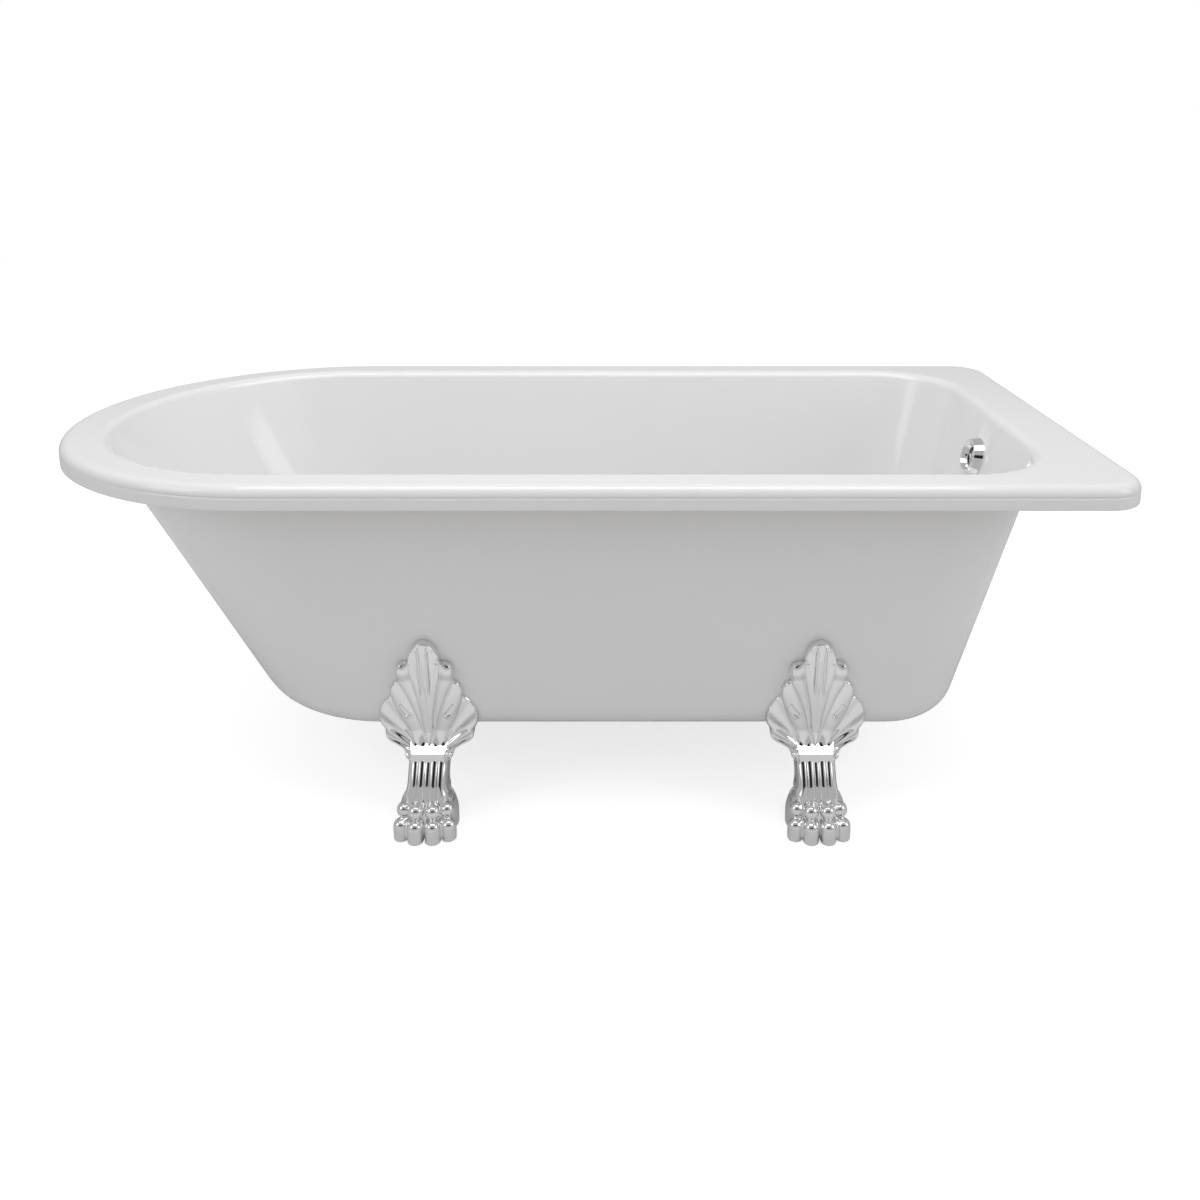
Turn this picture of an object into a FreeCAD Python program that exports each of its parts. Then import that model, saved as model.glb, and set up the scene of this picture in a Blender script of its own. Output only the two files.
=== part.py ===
import FreeCAD, Part
import math
import os
import re

# A freestanding bath on four cast paw feet: a formed sheet with a rolled rim, a stiffening skin
# bonded to its back, boards that stiffen the base and the rim, and waste and overflow fittings.
# Millimetres. The origin is on the floor under the middle of the rim, +X towards the tap end,
# +Z up, and the front of the bath faces -Y.

V = FreeCAD.Vector
X_AXIS, Y_AXIS, Z_AXIS = V(1, 0, 0), V(0, 1, 0), V(0, 0, 1)

SIZES = [
    # bath, over all
    ("rim_length", 1700, "over the rolled rim"),
    ("rim_width", 750, "over the rolled rim"),
    ("bath_height", 600, "floor to the top of the rim"),
    ("rim_depth", 35.2, "rolled edge, top to bottom"),
    ("rim_round", 14.5, "outer radius of the rolled edge"),
    ("rim_head", 417.5, "length of the rim's round head"),
    ("rim_corner", 62, "corners of the rim at the tap end"),
    ("roll_round", 16, "radius from the flat rim down into the bath"),
    ("sheet_thickness", 4, "formed sheet"),
    # body
    ("head_overhang", 65, "rim edge to body at the head, at rim height"),
    ("tap_overhang", 94, "rim edge to body at the tap end, at rim height"),
    ("side_overhang", 57, "rim edge to body at the sides, at rim height"),
    ("body_head", 330, "length of the body's round head at rim height"),
    ("body_corner", 145, "corners of the body at rim height"),
    ("base_height", 137, "floor to the underside of the body"),
    ("head_rake", 260, "how far the head wall leans in on its way to the base"),
    ("tap_rake", 113.5, "how far the tap wall leans in"),
    ("side_rake", 73.3, "how far the side walls lean in"),
    ("base_head", 237, "length of the base's round head"),
    ("base_corner", 120, "corners of the base"),
    ("base_round", 60, "outer radius between walls and base"),
    ("floor_round", 41, "radius between walls and bath floor"),
    ("skin_thickness", 4, "stiffening skin"),
    ("bond_line", 0.3, "adhesive between sheet and skin"),
    ("skin_stop", 18, "top of the rim to the skin's upper edge"),
    # boards
    ("board_thickness", 15, "board under the bath floor"),
    ("board_head_set", 195, "base outline to the board at the head"),
    ("board_tap_set", 57.5, "base outline to the board at the tap end"),
    ("board_side_set", 64.7, "base outline to the board at the sides"),
    ("board_corner", 60, "corners of the board"),
    ("batten_thickness", 16, "stiffeners under the flat rim"),
    ("batten_width", 28, "stiffeners along the head and sides"),
    ("batten_set", 15, "rim edge to the stiffeners"),
    ("batten_gap", 32, "between the ends of neighbouring stiffeners"),
    ("deck_board_width", 70, "stiffener under the tap deck"),
    ("deck_board_length", 580, "stiffener under the tap deck"),
    # feet
    ("foot_head_place", 210, "middle of the bath to the head feet"),
    ("foot_tap_place", 406, "middle of the bath to the tap feet"),
    ("seat_gap", 0.3, "between a foot and the body it carries"),
    ("leaf_height", 316.5, "floor to the tip of the leaf"),
    ("wing_half", 79.5, "half the width over the wings"),
    ("crown_proud", 13.5, "front of the leaf's middle off the wall"),
    ("lobe_proud", 11.5, "front of the second lobes off the wall"),
    ("petal_proud", 9.5, "front of the third lobes off the wall"),
    ("wing_proud", 6.5, "front of the wings off the wall"),
    ("rib_proud", 2.5, "twin ribs above the leaf's middle"),
    ("knee_height", 150, "where the leaf bends out into the leg"),
    ("ankle_height", 100, "where the leg bends out into the paw"),
    ("ankle_lean", 30, "front of the leg past the base line at the ankle"),
    ("paw_lean", 54, "front of the leg past the base line at the paw"),
    ("leg_half", 31.4, "half the width of the leg"),
    ("leg_depth", 38, "leg, front to back"),
    ("flute_depth", 3, "grooves down the front of the leg"),
    ("paw_half", 49.5, "half the width of the paw"),
    ("paw_height", 60, "floor to the top of the paw"),
    ("paw_front", 72, "base line to the front of the paw between the toes"),
    ("paw_heel", 8, "base line back to the heel"),
    ("toe_radius", 12.3, "toes and knuckles"),
    ("toe_front", 84.3, "base line to the front of the inner toes"),
    ("toe_step", 8, "outer toes behind the inner toes"),
    ("toe_gap", 0.1, "between neighbouring toes"),
    ("toe_height", 36, "floor to the top of the toes"),
    ("knuckle_height", 58, "floor to the top of the knuckles"),
    ("knuckle_back", 7, "knuckles behind the toes"),
    ("knuckle_in", 0.5, "knuckles nearer the middle than their toes"),
    ("sole_height", 0.5, "casting above the floor"),
    ("leg_round", 10, "how far the leg's sides fall back from its front"),
    ("leg_flare", 2, "how much further out the leg's sides are at the knee"),
    ("leg_spread", 0.25, "how much the leg's sides spread for each millimetre near the paw"),
    ("spread_height", 75, "floor to where the leg's sides start to spread"),
    ("leg_sink", 6, "leg's lower end inside the paw"),
    ("paw_bevel", 5, "bevels along the paw's sides"),
    ("foot_plate", 8, "plate that bolts under the base"),
    ("foot_plate_half", 32, "half the width of the plate"),
    ("foot_plate_reach", 95, "base line to the plate's inner edge"),
    ("foot_plate_lap", 10, "plate past the base line, inside the leg"),
    ("foot_rib", 8, "rib between plate and leg"),
    ("rib_lead", 5, "rib's upper end past the base line, inside the leg"),
    ("rib_drop", 20, "ankle down to the rib's lower end"),
    ("pad_thickness", 2.5, "pad under each paw"),
    ("pad_length", 78, "pad, along the bath"),
    ("pad_width", 54, "pad, across the bath"),
    ("pad_corner", 10, "corners of the pad"),
    ("pad_fit", 0.3, "round the pad in its recess"),
    # flats round a piece: what is round is drawn with this many, and its hole with as many
    ("round_flats", 20, "flats of the waste and overflow fittings"),
    ("small_flats", 12, "flats of stems, screws, bolts and their holes"),
    ("pipe_flats", 16, "flats of the pipe, spigots, nuts and washers"),
    ("toe_flats", 8, "flats of the toes and knuckles"),
    # fixings
    ("bolt_radius", 4, "foot bolt's shank"),
    ("bolt_length", 24, "foot bolt under its head"),
    ("bolt_head", 7.5, "foot bolt's head over its corners, as a radius"),
    ("bolt_head_height", 5.3, "foot bolt's head"),
    ("bolt_spread", 18, "foot's centre line to each bolt"),
    ("bolt_set", 80, "base line to the bolts"),
    ("bolt_fit", 0.1, "round a bolt in its hole"),
    ("washer_radius", 12, "foot bolt's washer"),
    ("washer_thickness", 1.6, "foot bolt's washer"),
    # waste
    ("waste_set", 122.5, "base outline to the waste's axis"),
    ("waste_hole", 27, "radius of the hole through the bath floor"),
    ("flange_radius", 35, "waste flange"),
    ("flange_thickness", 2.5, "waste flange"),
    ("flange_tube", 24.7, "outside of the flange's threaded tube"),
    ("flange_bore", 21.5, "inside of the flange's tube"),
    ("flange_reach", 38, "flange's tube below the bath floor"),
    ("guide_ledge", 2, "ledge in the flange's tube that carries the guide"),
    ("washer_fit", 0.3, "round the tube inside the rubber rings"),
    ("seal_thickness", 1, "rubber ring under the flange"),
    ("gasket_thickness", 3, "rubber ring under the base"),
    ("trap_flange", 36, "radius of the waste body's flange"),
    ("trap_flange_thickness", 4, "waste body's flange"),
    ("cup_radius", 30, "waste body's cup"),
    ("cup_depth", 38, "waste body below the base to the end of its cup"),
    ("thread_fit", 0.1, "waste body's thread round the flange's tube"),
    ("thread_depth", 14, "waste body's thread"),
    ("tail_radius", 23.9, "threaded tail for a trap, one and a half inch"),
    ("tail_bore", 20, "inside of the tail"),
    ("tail_taper", 6, "from cup to tail"),
    ("tail_length", 28, "threaded tail"),
    ("tail_step", 1.2, "shoulder above the tail's thread"),
    # plug
    ("plug_lift", 8, "travel of the plug"),
    ("plug_radius", 31, "plug's cap"),
    ("plug_rise", 6, "plug's cap, over its dome"),
    ("plug_edge", 1.6, "upright edge of the cap"),
    ("plug_rest", 0.3, "cap above the flange when shut"),
    ("plug_seal_radius", 21, "rubber ring under the cap"),
    ("plug_seal_thickness", 4, "rubber ring under the cap"),
    ("stem_radius", 4, "plug's stem"),
    ("stem_fit", 0.05, "round the stem in its guide"),
    ("stem_seat", 3.5, "stem inside the cap"),
    ("stem_length", 54, "plug's stem"),
    ("guide_radius", 21.4, "outside of the guide"),
    ("guide_band", 3, "ring of the guide"),
    ("guide_height", 6, "ring and arms of the guide"),
    ("guide_hub", 8, "radius of the guide's hub"),
    ("guide_hub_height", 12, "guide's hub"),
    ("guide_arm", 4, "width of the guide's arms"),
    # overflow
    ("overflow_drop", 81, "top of the rim down to the overflow's axis at the wall"),
    ("overflow_hole", 20, "radius of the hole through the wall"),
    ("bezel_radius", 35, "overflow's front piece at the wall"),
    ("bezel_front", 29, "overflow's front piece at its front"),
    ("bezel_mouth", 25.5, "opening at the front"),
    ("bezel_depth", 17, "overflow's front piece off the wall"),
    ("bezel_band", 3, "upright edge at the wall"),
    ("bezel_tube", 19.5, "tube through the wall"),
    ("bezel_bore", 17, "inside of the tube"),
    ("bezel_reach", 16, "tube behind the face of the wall"),
    ("grid_radius", 20.2, "grid inside the front piece"),
    ("grid_fit", 0.2, "round the grid"),
    ("grid_place", 5, "face of the wall to the grid"),
    ("grid_thickness", 3, "grid"),
    ("grid_bar", 4, "bars of the grid"),
    ("grid_hub", 6, "radius of the grid's hub"),
    ("screw_radius", 2.5, "overflow screw"),
    ("screw_head", 4.6, "radius of its head"),
    ("screw_head_height", 3, "overflow screw's head"),
    ("screw_head_top", 2.8, "radius of the flat on its head"),
    ("screw_length", 46, "overflow screw under its head"),
    ("overflow_gasket_thickness", 2, "rubber ring behind the wall"),
    ("elbow_flange", 33, "radius of the elbow's flange"),
    ("elbow_flange_thickness", 4, "elbow's flange"),
    ("elbow_radius", 23, "outside of the elbow's cup"),
    ("elbow_bore", 19.8, "inside of the elbow's cup"),
    ("elbow_depth", 46, "face of the wall to the back of the elbow"),
    ("elbow_wall", 4, "back of the elbow's cup"),
    ("boss_radius", 6.5, "boss in the elbow that takes the overflow screw"),
    ("boss_height", 10, "back of the elbow to the top of the boss"),
    ("pipe_set", 30, "face of the wall to the axis of the overflow pipe"),
    ("spigot_radius", 15, "outside of the two spigots"),
    ("spigot_bore", 12, "inside of the spigots and the pipe"),
    ("elbow_spigot", 48, "overflow's axis to the end of the elbow's spigot"),
    ("inlet_reach", 75, "waste's axis to the end of its side inlet"),
    ("inlet_drop", 27.5, "underside of the base to the side inlet's axis"),
    ("pipe_radius", 14, "outside of the overflow pipe"),
    ("pipe_bend", 55, "bend of the overflow pipe"),
    ("nut_radius", 20, "coupling nuts"),
    ("nut_grip", 14, "coupling nut over the spigot"),
    ("nut_lap", 10, "coupling nut over the pipe"),
    ("nut_fit", 0.15, "round spigot and pipe inside the nuts"),
]

doc = FreeCAD.newDocument("ClawfootBath")
sheet = doc.addObject("Spreadsheet::Sheet", "Sizes")
for row, (alias, number, note) in enumerate(SIZES, 1):
    sheet.set("A%d" % row, note)
    sheet.set("B%d" % row, str(number))
    sheet.setAlias("B%d" % row, alias)
doc.recompute()


def bound(words):
    """An expression over the sheet's cells, written with their bare names."""
    return re.sub(r"\b([a-z]+(?:_[a-z]+)+)\b", r"Sizes.\1", words)


def value(words):
    return float(sheet.evalExpression(bound(words)))


# Places that several pieces share, as expressions over the sheet.
BASE_TAP = "(rim_length / 2 - tap_overhang - tap_rake)"
BASE_TIP = "(rim_length / 2 - head_overhang - head_rake)"
BASE_SIDE = "(rim_width / 2 - side_overhang - side_rake)"
BOARD_UNDER = "(base_height + skin_thickness)"
SHEET_UNDER = "(%s + board_thickness)" % BOARD_UNDER
FLOOR = "(%s + sheet_thickness)" % SHEET_UNDER
DECK_UNDER = "(bath_height - sheet_thickness)"
WALL = "(skin_thickness + bond_line + sheet_thickness)"
WASTE_X = "(%s - waste_set)" % BASE_TAP
FLANGE_UNDER = "(%s + seal_thickness)" % FLOOR
FLANGE_TOP = "(%s + flange_thickness)" % FLANGE_UNDER
GASKET_UNDER = "(base_height - gasket_thickness)"
CAP_UNDER = "(%s + plug_rest + plug_lift)" % FLANGE_TOP
GUIDE_UNDER = "(%s - flange_reach + flange_tube - flange_bore + guide_ledge)" % FLOOR
TAP_SLOPE = "(tap_rake / (bath_height - base_height))"
OVERFLOW_HEIGHT = "(bath_height - overflow_drop)"
OVERFLOW_X = "(rim_length / 2 - tap_overhang - %s - overflow_drop * %s)" % (WALL, TAP_SLOPE)

finished = []


def finish(piece, label):
    """Names a sub-part, which also names its file."""
    piece.Label = label
    finished.append(piece)
    return piece


def feature(label, shape):
    piece = doc.addObject("Part::Feature", label)
    piece.Shape = shape
    return piece


def put(piece, place):
    """Binds a piece's place; a zero is left free, for pieces that are turned or moved later."""
    for axis, words in zip("xyz", place):
        if words != "0":
            piece.setExpression("Placement.Base." + axis, bound(words))


def sized(kind, label, place, **sizes):
    """A primitive whose sizes and place are bound to the sheet."""
    piece = doc.addObject(kind, label)
    for name, words in sizes.items():
        piece.setExpression(name, bound(words))
    put(piece, place)
    return piece


def cylinder(label, place, radius, height):
    return sized("Part::Cylinder", label, place, Radius=radius, Height=height)


def prism(label, place, radius, height, flats="round_flats"):
    """A round bar or bore as flats, over its corners; the first corner points along +X."""
    return sized("Part::Prism", label, place, Circumradius=radius, Height=height, Polygon=flats)


def box(label, place, length, width, height):
    return sized("Part::Box", label, place, Length=length, Width=width, Height=height)


def cut(label, base, tool):
    piece = doc.addObject("Part::Cut", label)
    piece.Base, piece.Tool = base, tool
    return piece


def fuse(label, pieces):
    piece = doc.addObject("Part::MultiFuse", label)
    piece.Shapes = pieces
    return piece


def turned(label, corners, place=("0", "0", "0"), flats="round_flats", ends=False):
    """A turned piece as flats round its axis: corners of its half section as expressions for
    radius and height. With ends, its first and last corners are closed by flat faces."""
    rings = [flat_ring(0, 0, value(height), value(radius), int(value(flats)))
             for radius, height in corners]
    lids = [rings[0], rings[-1]] if ends else []
    piece = feature(label, shell_between(rings if ends else rings + rings[:1], lids))
    put(piece, place)
    return piece


# ---- bath: outlines at a height, and the flats between them ----

HEAD_TURN = math.radians(45)
PAD_CORNER_STEPS, PIPE_BEND_STEPS = 3, 5
NOSE_STEPS, SHOULDER_STEPS, CORNER_STEPS, PROFILE_STEPS = 10, 4, 5, 3
SLOPES = {
    "tip": math.atan2(value("head_rake"), value("bath_height - base_height")),
    "tap": math.atan2(value("tap_rake"), value("bath_height - base_height")),
    "side": math.atan2(value("side_rake"), value("bath_height - base_height")),
}


def arc(x, y, radius, start, end, steps):
    angles = [math.radians(start + (end - start) * i / steps) for i in range(steps + 1)]
    return [(x + radius * math.cos(a), y + radius * math.sin(a)) for a in angles]


def flat_ring(x, y, height, radius, flats):
    """Corners of a regular outline round an upright axis."""
    return [V(px, py, height) for px, py in arc(x, y, radius, 0, 360, flats)[:-1]]


def outline(height, tip, tap, half, head, corner):
    """Corners of a closed outline: square tap end, straight sides and a head of three tangent arcs.

    The arcs turn by the same steps in every outline, so the flat between two of them is plane.
    """
    grow = (head - half) / (math.cos(HEAD_TURN) + math.sin(HEAD_TURN) - 1)
    nose = head - grow * math.cos(HEAD_TURN)
    shoulder = nose + grow
    turn = math.degrees(HEAD_TURN)
    points = arc(tap - corner, corner - half, corner, -90, 0, CORNER_STEPS)
    points += arc(tap - corner, half - corner, corner, 0, 90, CORNER_STEPS)
    points += arc(tip + head, half - shoulder, shoulder, 90, 180 - turn, SHOULDER_STEPS)
    points += arc(tip + nose, 0, nose, 180 - turn, 180 + turn, NOSE_STEPS)[1:]
    points += arc(tip + head, shoulder - half, shoulder, 180 + turn, 270, SHOULDER_STEPS)[1:]
    return [V(x, y, height) for x, y in points]


def rim_outline(height, inset):
    length, half = value("rim_length / 2"), value("rim_width / 2")
    return outline(height, inset - length, length - inset, half - inset,
                   value("rim_head") - inset, value("rim_corner") - inset)


def run_in(height, slope, top, roll, floor, bend):
    """How far the wall has come in from its line at rim height, rolled over at its top
    and bent into the floor at its foot."""
    rim = value("bath_height")
    if roll and top - height < roll * (1 - math.sin(slope)):
        start = (rim - top) * math.tan(slope) - roll / math.tan(math.pi / 4 + slope / 2)
        return start + math.sqrt(max(0, roll ** 2 - (roll - top + height) ** 2))
    if height - floor < bend * (1 - math.sin(slope)):
        foot = (rim - floor) * math.tan(slope) + bend * math.tan(math.pi / 4 - slope / 2)
        return foot - math.sqrt(max(0, bend ** 2 - (bend - height + floor) ** 2))
    return (rim - height) * math.tan(slope)


def body_outline(height, inset, top, roll, floor, bend):
    travel = {end: run_in(height, slope, top, roll, floor, bend) for end, slope in SLOPES.items()}
    drop = value("bath_height") - height
    share = drop / value("bath_height - base_height")
    tip = travel["tip"] + inset - value("rim_length / 2 - head_overhang")
    centre = value("body_head + head_overhang - rim_length / 2") \
        + share * value("base_head + head_rake - body_head")
    corner = value("body_corner") - share * value("body_corner - base_corner") - inset \
        - travel["tap"] + drop * math.tan(SLOPES["tap"])
    return outline(height, tip, value("rim_length / 2 - tap_overhang") - inset - travel["tap"],
                   value("rim_width / 2 - side_overhang") - inset - travel["side"], centre - tip, corner)


def turn_heights(radius):
    """Heights along a quarter round where an outline is wanted: even steps, then each wall's end."""
    ends = sorted(math.pi / 2 - slope for slope in SLOPES.values())
    turns = [ends[0] * i / PROFILE_STEPS for i in range(PROFILE_STEPS)] + ends
    return sorted({round(radius * (1 - math.cos(turn)), 6) for turn in turns})


def wall_outlines(inset, top, roll, floor, bend):
    """Outlines of a wall from its top down to its floor."""
    heights = [top - fall for fall in turn_heights(roll)] if roll else [top]
    heights += [floor + rise for rise in reversed(turn_heights(bend))]
    return [body_outline(height, inset, top, roll, floor, bend) for height in heights]


def rim_outlines(inset, radius, top):
    """Outlines of the rolled edge from its lower lip up to the flat of the rim."""
    turns = [math.pi / 2 * i / PROFILE_STEPS for i in range(PROFILE_STEPS + 1)]
    return [rim_outline(value("bath_height - rim_depth"), inset)] \
        + [rim_outline(top - radius * (1 - math.sin(turn)), inset + radius * (1 - math.cos(turn)))
           for turn in turns]


def strip(first, second):
    """The flats between two outlines."""
    flats = []
    for i in range(len(first)):
        flats.append([first[i - 1], first[i], second[i], second[i - 1]])
    return [Part.Face(Part.makePolygon(flat + flat[:1])) for flat in flats]


def shell_between(outlines, ends):
    """A closed solid whose skin runs through the outlines in turn; ends are its flat lids."""
    faces = [Part.Face(Part.makePolygon(end + end[:1])) for end in ends]
    for first, second in zip(outlines, outlines[1:]):
        faces += strip(first, second)
    return closed(faces)


def closed(faces):
    """The solid inside a set of faces that meet edge to edge."""
    shell = Part.makeShell(faces)
    shell.sewShape()
    solid = Part.makeSolid(shell)
    if solid.Volume < 0:
        solid.reverse()
    return solid


def sheet_solid():
    """The formed sheet, from the bath floor over the rim and back under it along the sheet's back."""
    top, floor, inset = value("bath_height"), value(FLOOR), value(WALL)
    gauge, roll, bend = value("sheet_thickness"), value("roll_round"), value("floor_round")
    rim = value("rim_round")
    front = rim_outlines(0, rim, top) + wall_outlines(inset, top, roll, floor, bend)
    back = rim_outlines(gauge, rim - gauge, top - gauge) \
        + wall_outlines(inset - gauge, top - gauge, roll - gauge, floor - gauge, bend + gauge)
    return shell_between(front[::-1] + back, [front[-1], back[-1]])


def skin_solid():
    base, gauge, bend = value("base_height"), value("skin_thickness"), value("base_round")
    top = value("bath_height - skin_stop")
    front = wall_outlines(0, top, 0, base, bend)
    back = wall_outlines(gauge, top, 0, base + gauge, bend - gauge)
    return shell_between(front[::-1] + back, [front[-1], back[-1]])


# ---- feet: a cast leaf, a fluted leg and a paw, drawn with +Y pointing out of the bath ----


def wall_out(height):
    """Distance from the bath's middle to the side wall at a height."""
    drop = value("bath_height") - height
    return value("rim_width / 2 - side_overhang") - drop * math.tan(SLOPES["side"])


def leg_front(height):
    """Front of the leg: along the wall to the knee, then out to the ankle and the paw."""
    base, knee, ankle = value(BASE_SIDE), value("knee_height"), value("ankle_height")
    at_knee, at_ankle = wall_out(knee) + value("petal_proud"), base + value("ankle_lean")
    at_paw, paw = base + value("paw_lean"), value("paw_height")
    if height >= knee:
        return wall_out(height) + value("petal_proud")
    if height >= ankle:
        share = (knee - height) / (knee - ankle)
        return at_knee + (at_ankle - at_knee) * share * share
    share = (ankle - height) / (ankle - paw)
    slope = 2 * (at_ankle - at_knee) * (ankle - paw) / (knee - ankle)
    return at_ankle + slope * share + (at_paw - at_ankle - slope) * share * share


def slab(points, travel):
    """A flat outline carried along travel."""
    return Part.Face(Part.makePolygon(points + points[:1])).extrude(travel)


def mirrored(half_outline):
    """A closed outline in the foot's front view from its right half, listed from the top down."""
    right = [V(x, 0, z) for x, z in half_outline]
    left = [V(-x, 0, z) for x, z in reversed(half_outline) if x > 0]
    return right + left


# The leaf's layers, each as half widths against the drop below the leaf's tip.
CROWN = [(0, 0), (11, 4), (21, 17), (26, 39), (19.5, 86), (11, 136), (0, 194)]
LOBES = [(0, 39), (26, 39), (39, 42), (45.6, 57), (43, 78), (29, 112), (16.5, 148), (0, 200)]
PETALS = [(0, 75), (45, 75), (55, 84), (57, 104), (43, 150), (22, 192), (14.6, 212), (0, 212)]
WINGS = [(0, 104), (57, 104), (73, 121), (79.5, 143), (71.5, 169), (67, 184), (55.5, 191), (41, 199),
         (33, 212), (0, 212)]
RIB = [(0, 12), (2.6, 15), (2.6, 106), (0, 110)]
RIB_PLACE = 4.6


def layer(shape, proud):
    """One layer of the leaf: its outline from the front, with a front that follows wall and leg."""
    tip, knee, depth = value("leaf_height"), value("knee_height"), value("leg_depth")
    half, bend = value("rim_width"), value("knee_height - ankle_height") / 2
    heights = [value("bath_height"), knee, knee - bend, knee - 2 * bend]
    ahead = value(proud) - value("petal_proud")
    front = [V(-half, leg_front(height) + ahead, height) for height in heights]
    back = [point - V(0, depth, 0) for point in reversed(front)]
    side = slab(front + back, V(2 * half, 0, 0))
    return slab(mirrored([(x, tip - drop) for x, drop in shape]), V(0, 2 * half, 0)).common(side)


def leaf():
    """Crown, two pairs of lobes and a pair of wings, each layer lower than the one inside it."""
    shape = layer(CROWN, "crown_proud")
    for outline_points, proud in ((LOBES, "lobe_proud"), (PETALS, "petal_proud"), (WINGS, "wing_proud")):
        shape = shape.fuse(layer(outline_points, proud))
    for side in (-1, 1):
        rib = layer(RIB, "crown_proud + rib_proud")
        rib.translate(V(side * RIB_PLACE, 0, 0))
        shape = shape.fuse(rib)
    return shape


# Left half of the leg's section: each point's share of the half width, of how far the sides
# fall back, and of the flutes' depth; the flutes lie at the middle and a little under half way.
LEG_SECTION = [(-1, 1, 0), (-0.8, 0.23, 0), (-0.57, 0.05, 0), (-0.47, 0.02, 1), (-0.36, 0, 0),
               (-0.1, 0, 0), (0, 0, 1)]


def leg():
    """A fluted leg: sections from knee to paw, grooved down the front."""
    knee, ankle, low = value("knee_height"), value("ankle_height"), value("paw_height - leg_sink")
    middle = (knee + ankle) / 2
    heights = [knee, middle, ankle, (ankle + low) / 2, low]
    half, depth, flute = value("leg_half"), value("leg_depth"), value("flute_depth")
    section = LEG_SECTION + [(-share, fall, groove) for share, fall, groove in LEG_SECTION[-2::-1]]
    sections = []
    for height in heights:
        width = half + value("leg_flare") * max(0, height - ankle) / (knee - ankle)
        width += value("leg_spread") * max(0, value("spread_height") - height)
        front = leg_front(height)
        sections.append([V(share * width, front - fall * value("leg_round") - groove * flute, height)
                         for share, fall, groove in section]
                        + [V(width, front - depth, height), V(-width, front - depth, height)])
    faces = [Part.Face(Part.makePolygon(end + end[:1])) for end in (sections[0], sections[-1])]
    for first, second in zip(sections, sections[1:]):
        for i in range(len(first)):
            a, b, c, d = first[i - 1], first[i], second[i], second[i - 1]
            faces += [Part.Face(Part.makePolygon([a, b, c, a])), Part.Face(Part.makePolygon([a, c, d, a]))]
    return closed(faces)


# A toe's rings from the floor up: share of its radius, and drop below its top in radii.
TOE_RINGS = [(1, 0.9), (0.8, 0.33), (0.4, 0.04)]


def dome(x, y, low, top):
    """A toe: upright, rounded by flats, with a domed end."""
    radius, flats = value("toe_radius"), int(value("toe_flats"))
    rings = [flat_ring(x, y, low, radius, flats)]
    rings += [flat_ring(x, y, top - drop * radius, share * radius, flats) for share, drop in TOE_RINGS]
    return shell_between(rings, [rings[0], rings[-1]])


def paw():
    """The paw: a block, bevelled in steps of one size, with four toes and four knuckles in front."""
    base, half, top = value(BASE_SIDE), value("paw_half"), value("paw_height")
    sole, radius, bevel = value("sole_height"), value("toe_radius"), value("paw_bevel")
    edges = [(half - bevel, top), (half, top - 4 * bevel), (half, 2 * bevel), (half - bevel / 2, sole)]
    from_front = slab(mirrored(edges), V(0, value("rim_width"), 0))
    heel, front = base - value("paw_heel"), base + value("paw_front")
    side = [(heel, sole), (heel, top - 4 * bevel), (heel + 3 * bevel, top), (front - 5 * bevel, top),
            (front - bevel, top - 3 * bevel), (front, top / 2), (front, sole)]
    from_side = slab([V(-2 * half, y, z) for y, z in side], V(4 * half, 0, 0))
    shape = from_front.common(from_side)
    pitch = 2 * radius + value("toe_gap")
    for sign in (-1, 1):
        for place, back in ((pitch / 2, 0), (3 * pitch / 2, value("toe_step"))):
            y = base + value("toe_front") - radius - back
            shape = shape.fuse(dome(sign * place, y, sole, value("toe_height")))
            shape = shape.fuse(dome(sign * (place - value("knuckle_in")), y - value("knuckle_back"), sole,
                                    value("knuckle_height")))
    return shape


def foot_solid():
    """A whole foot: the casting with its plate and rib, less the body it seats against, the
    recess for its pad and the holes for its bolts."""
    base, under = value(BASE_SIDE), value("base_height")
    plate_under = under - value("foot_plate")
    plate = Part.makeBox(value("2 * foot_plate_half"), value("foot_plate_reach + foot_plate_lap"),
                         value("foot_plate"))
    plate.translate(V(-value("foot_plate_half"), base - value("foot_plate_reach"), plate_under))
    rib_half, low = value("foot_rib / 2"), value("ankle_height - rib_drop")
    inside = leg_front(low) - value("leg_depth")
    side = [(base - value("bolt_set - 2 * washer_radius"), plate_under), (base + value("rib_lead"), under),
            (inside + value("leg_depth") * 2 / 3, low), (inside, low)]
    rib = slab([V(-rib_half, y, z) for y, z in side], V(2 * rib_half, 0, 0))
    shape = leaf().fuse(leg()).fuse(paw()).fuse(plate).fuse(rib)
    gap, bend = value("seat_gap"), value("base_round + seat_gap")
    floor, top = under - gap, value("bath_height")
    heights = [top] + [floor + rise for rise in reversed(turn_heights(bend))]
    seat = [V(-2 * value("wing_half"), value("rim_width / 2 - side_overhang + seat_gap")
              - run_in(height, SLOPES["side"], top, 0, floor, bend), height) for height in heights]
    seat += [V(seat[0].x, 0, floor), V(seat[0].x, 0, top)]
    shape = shape.cut(slab(seat, V(4 * value("wing_half"), 0, 0)))
    recess = rounded_pad("pad_length + 2 * pad_fit", "pad_width + 2 * pad_fit", "pad_corner + pad_fit")
    shape = shape.cut(recess)
    for side in (-1, 1):
        ring = flat_ring(side * value("bolt_spread"), base - value("bolt_set"), 0,
                         value("bolt_radius + bolt_fit"), int(value("small_flats")))
        shape = shape.cut(slab(ring, V(0, 0, under)))
    return shape.removeSplitter()


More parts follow.
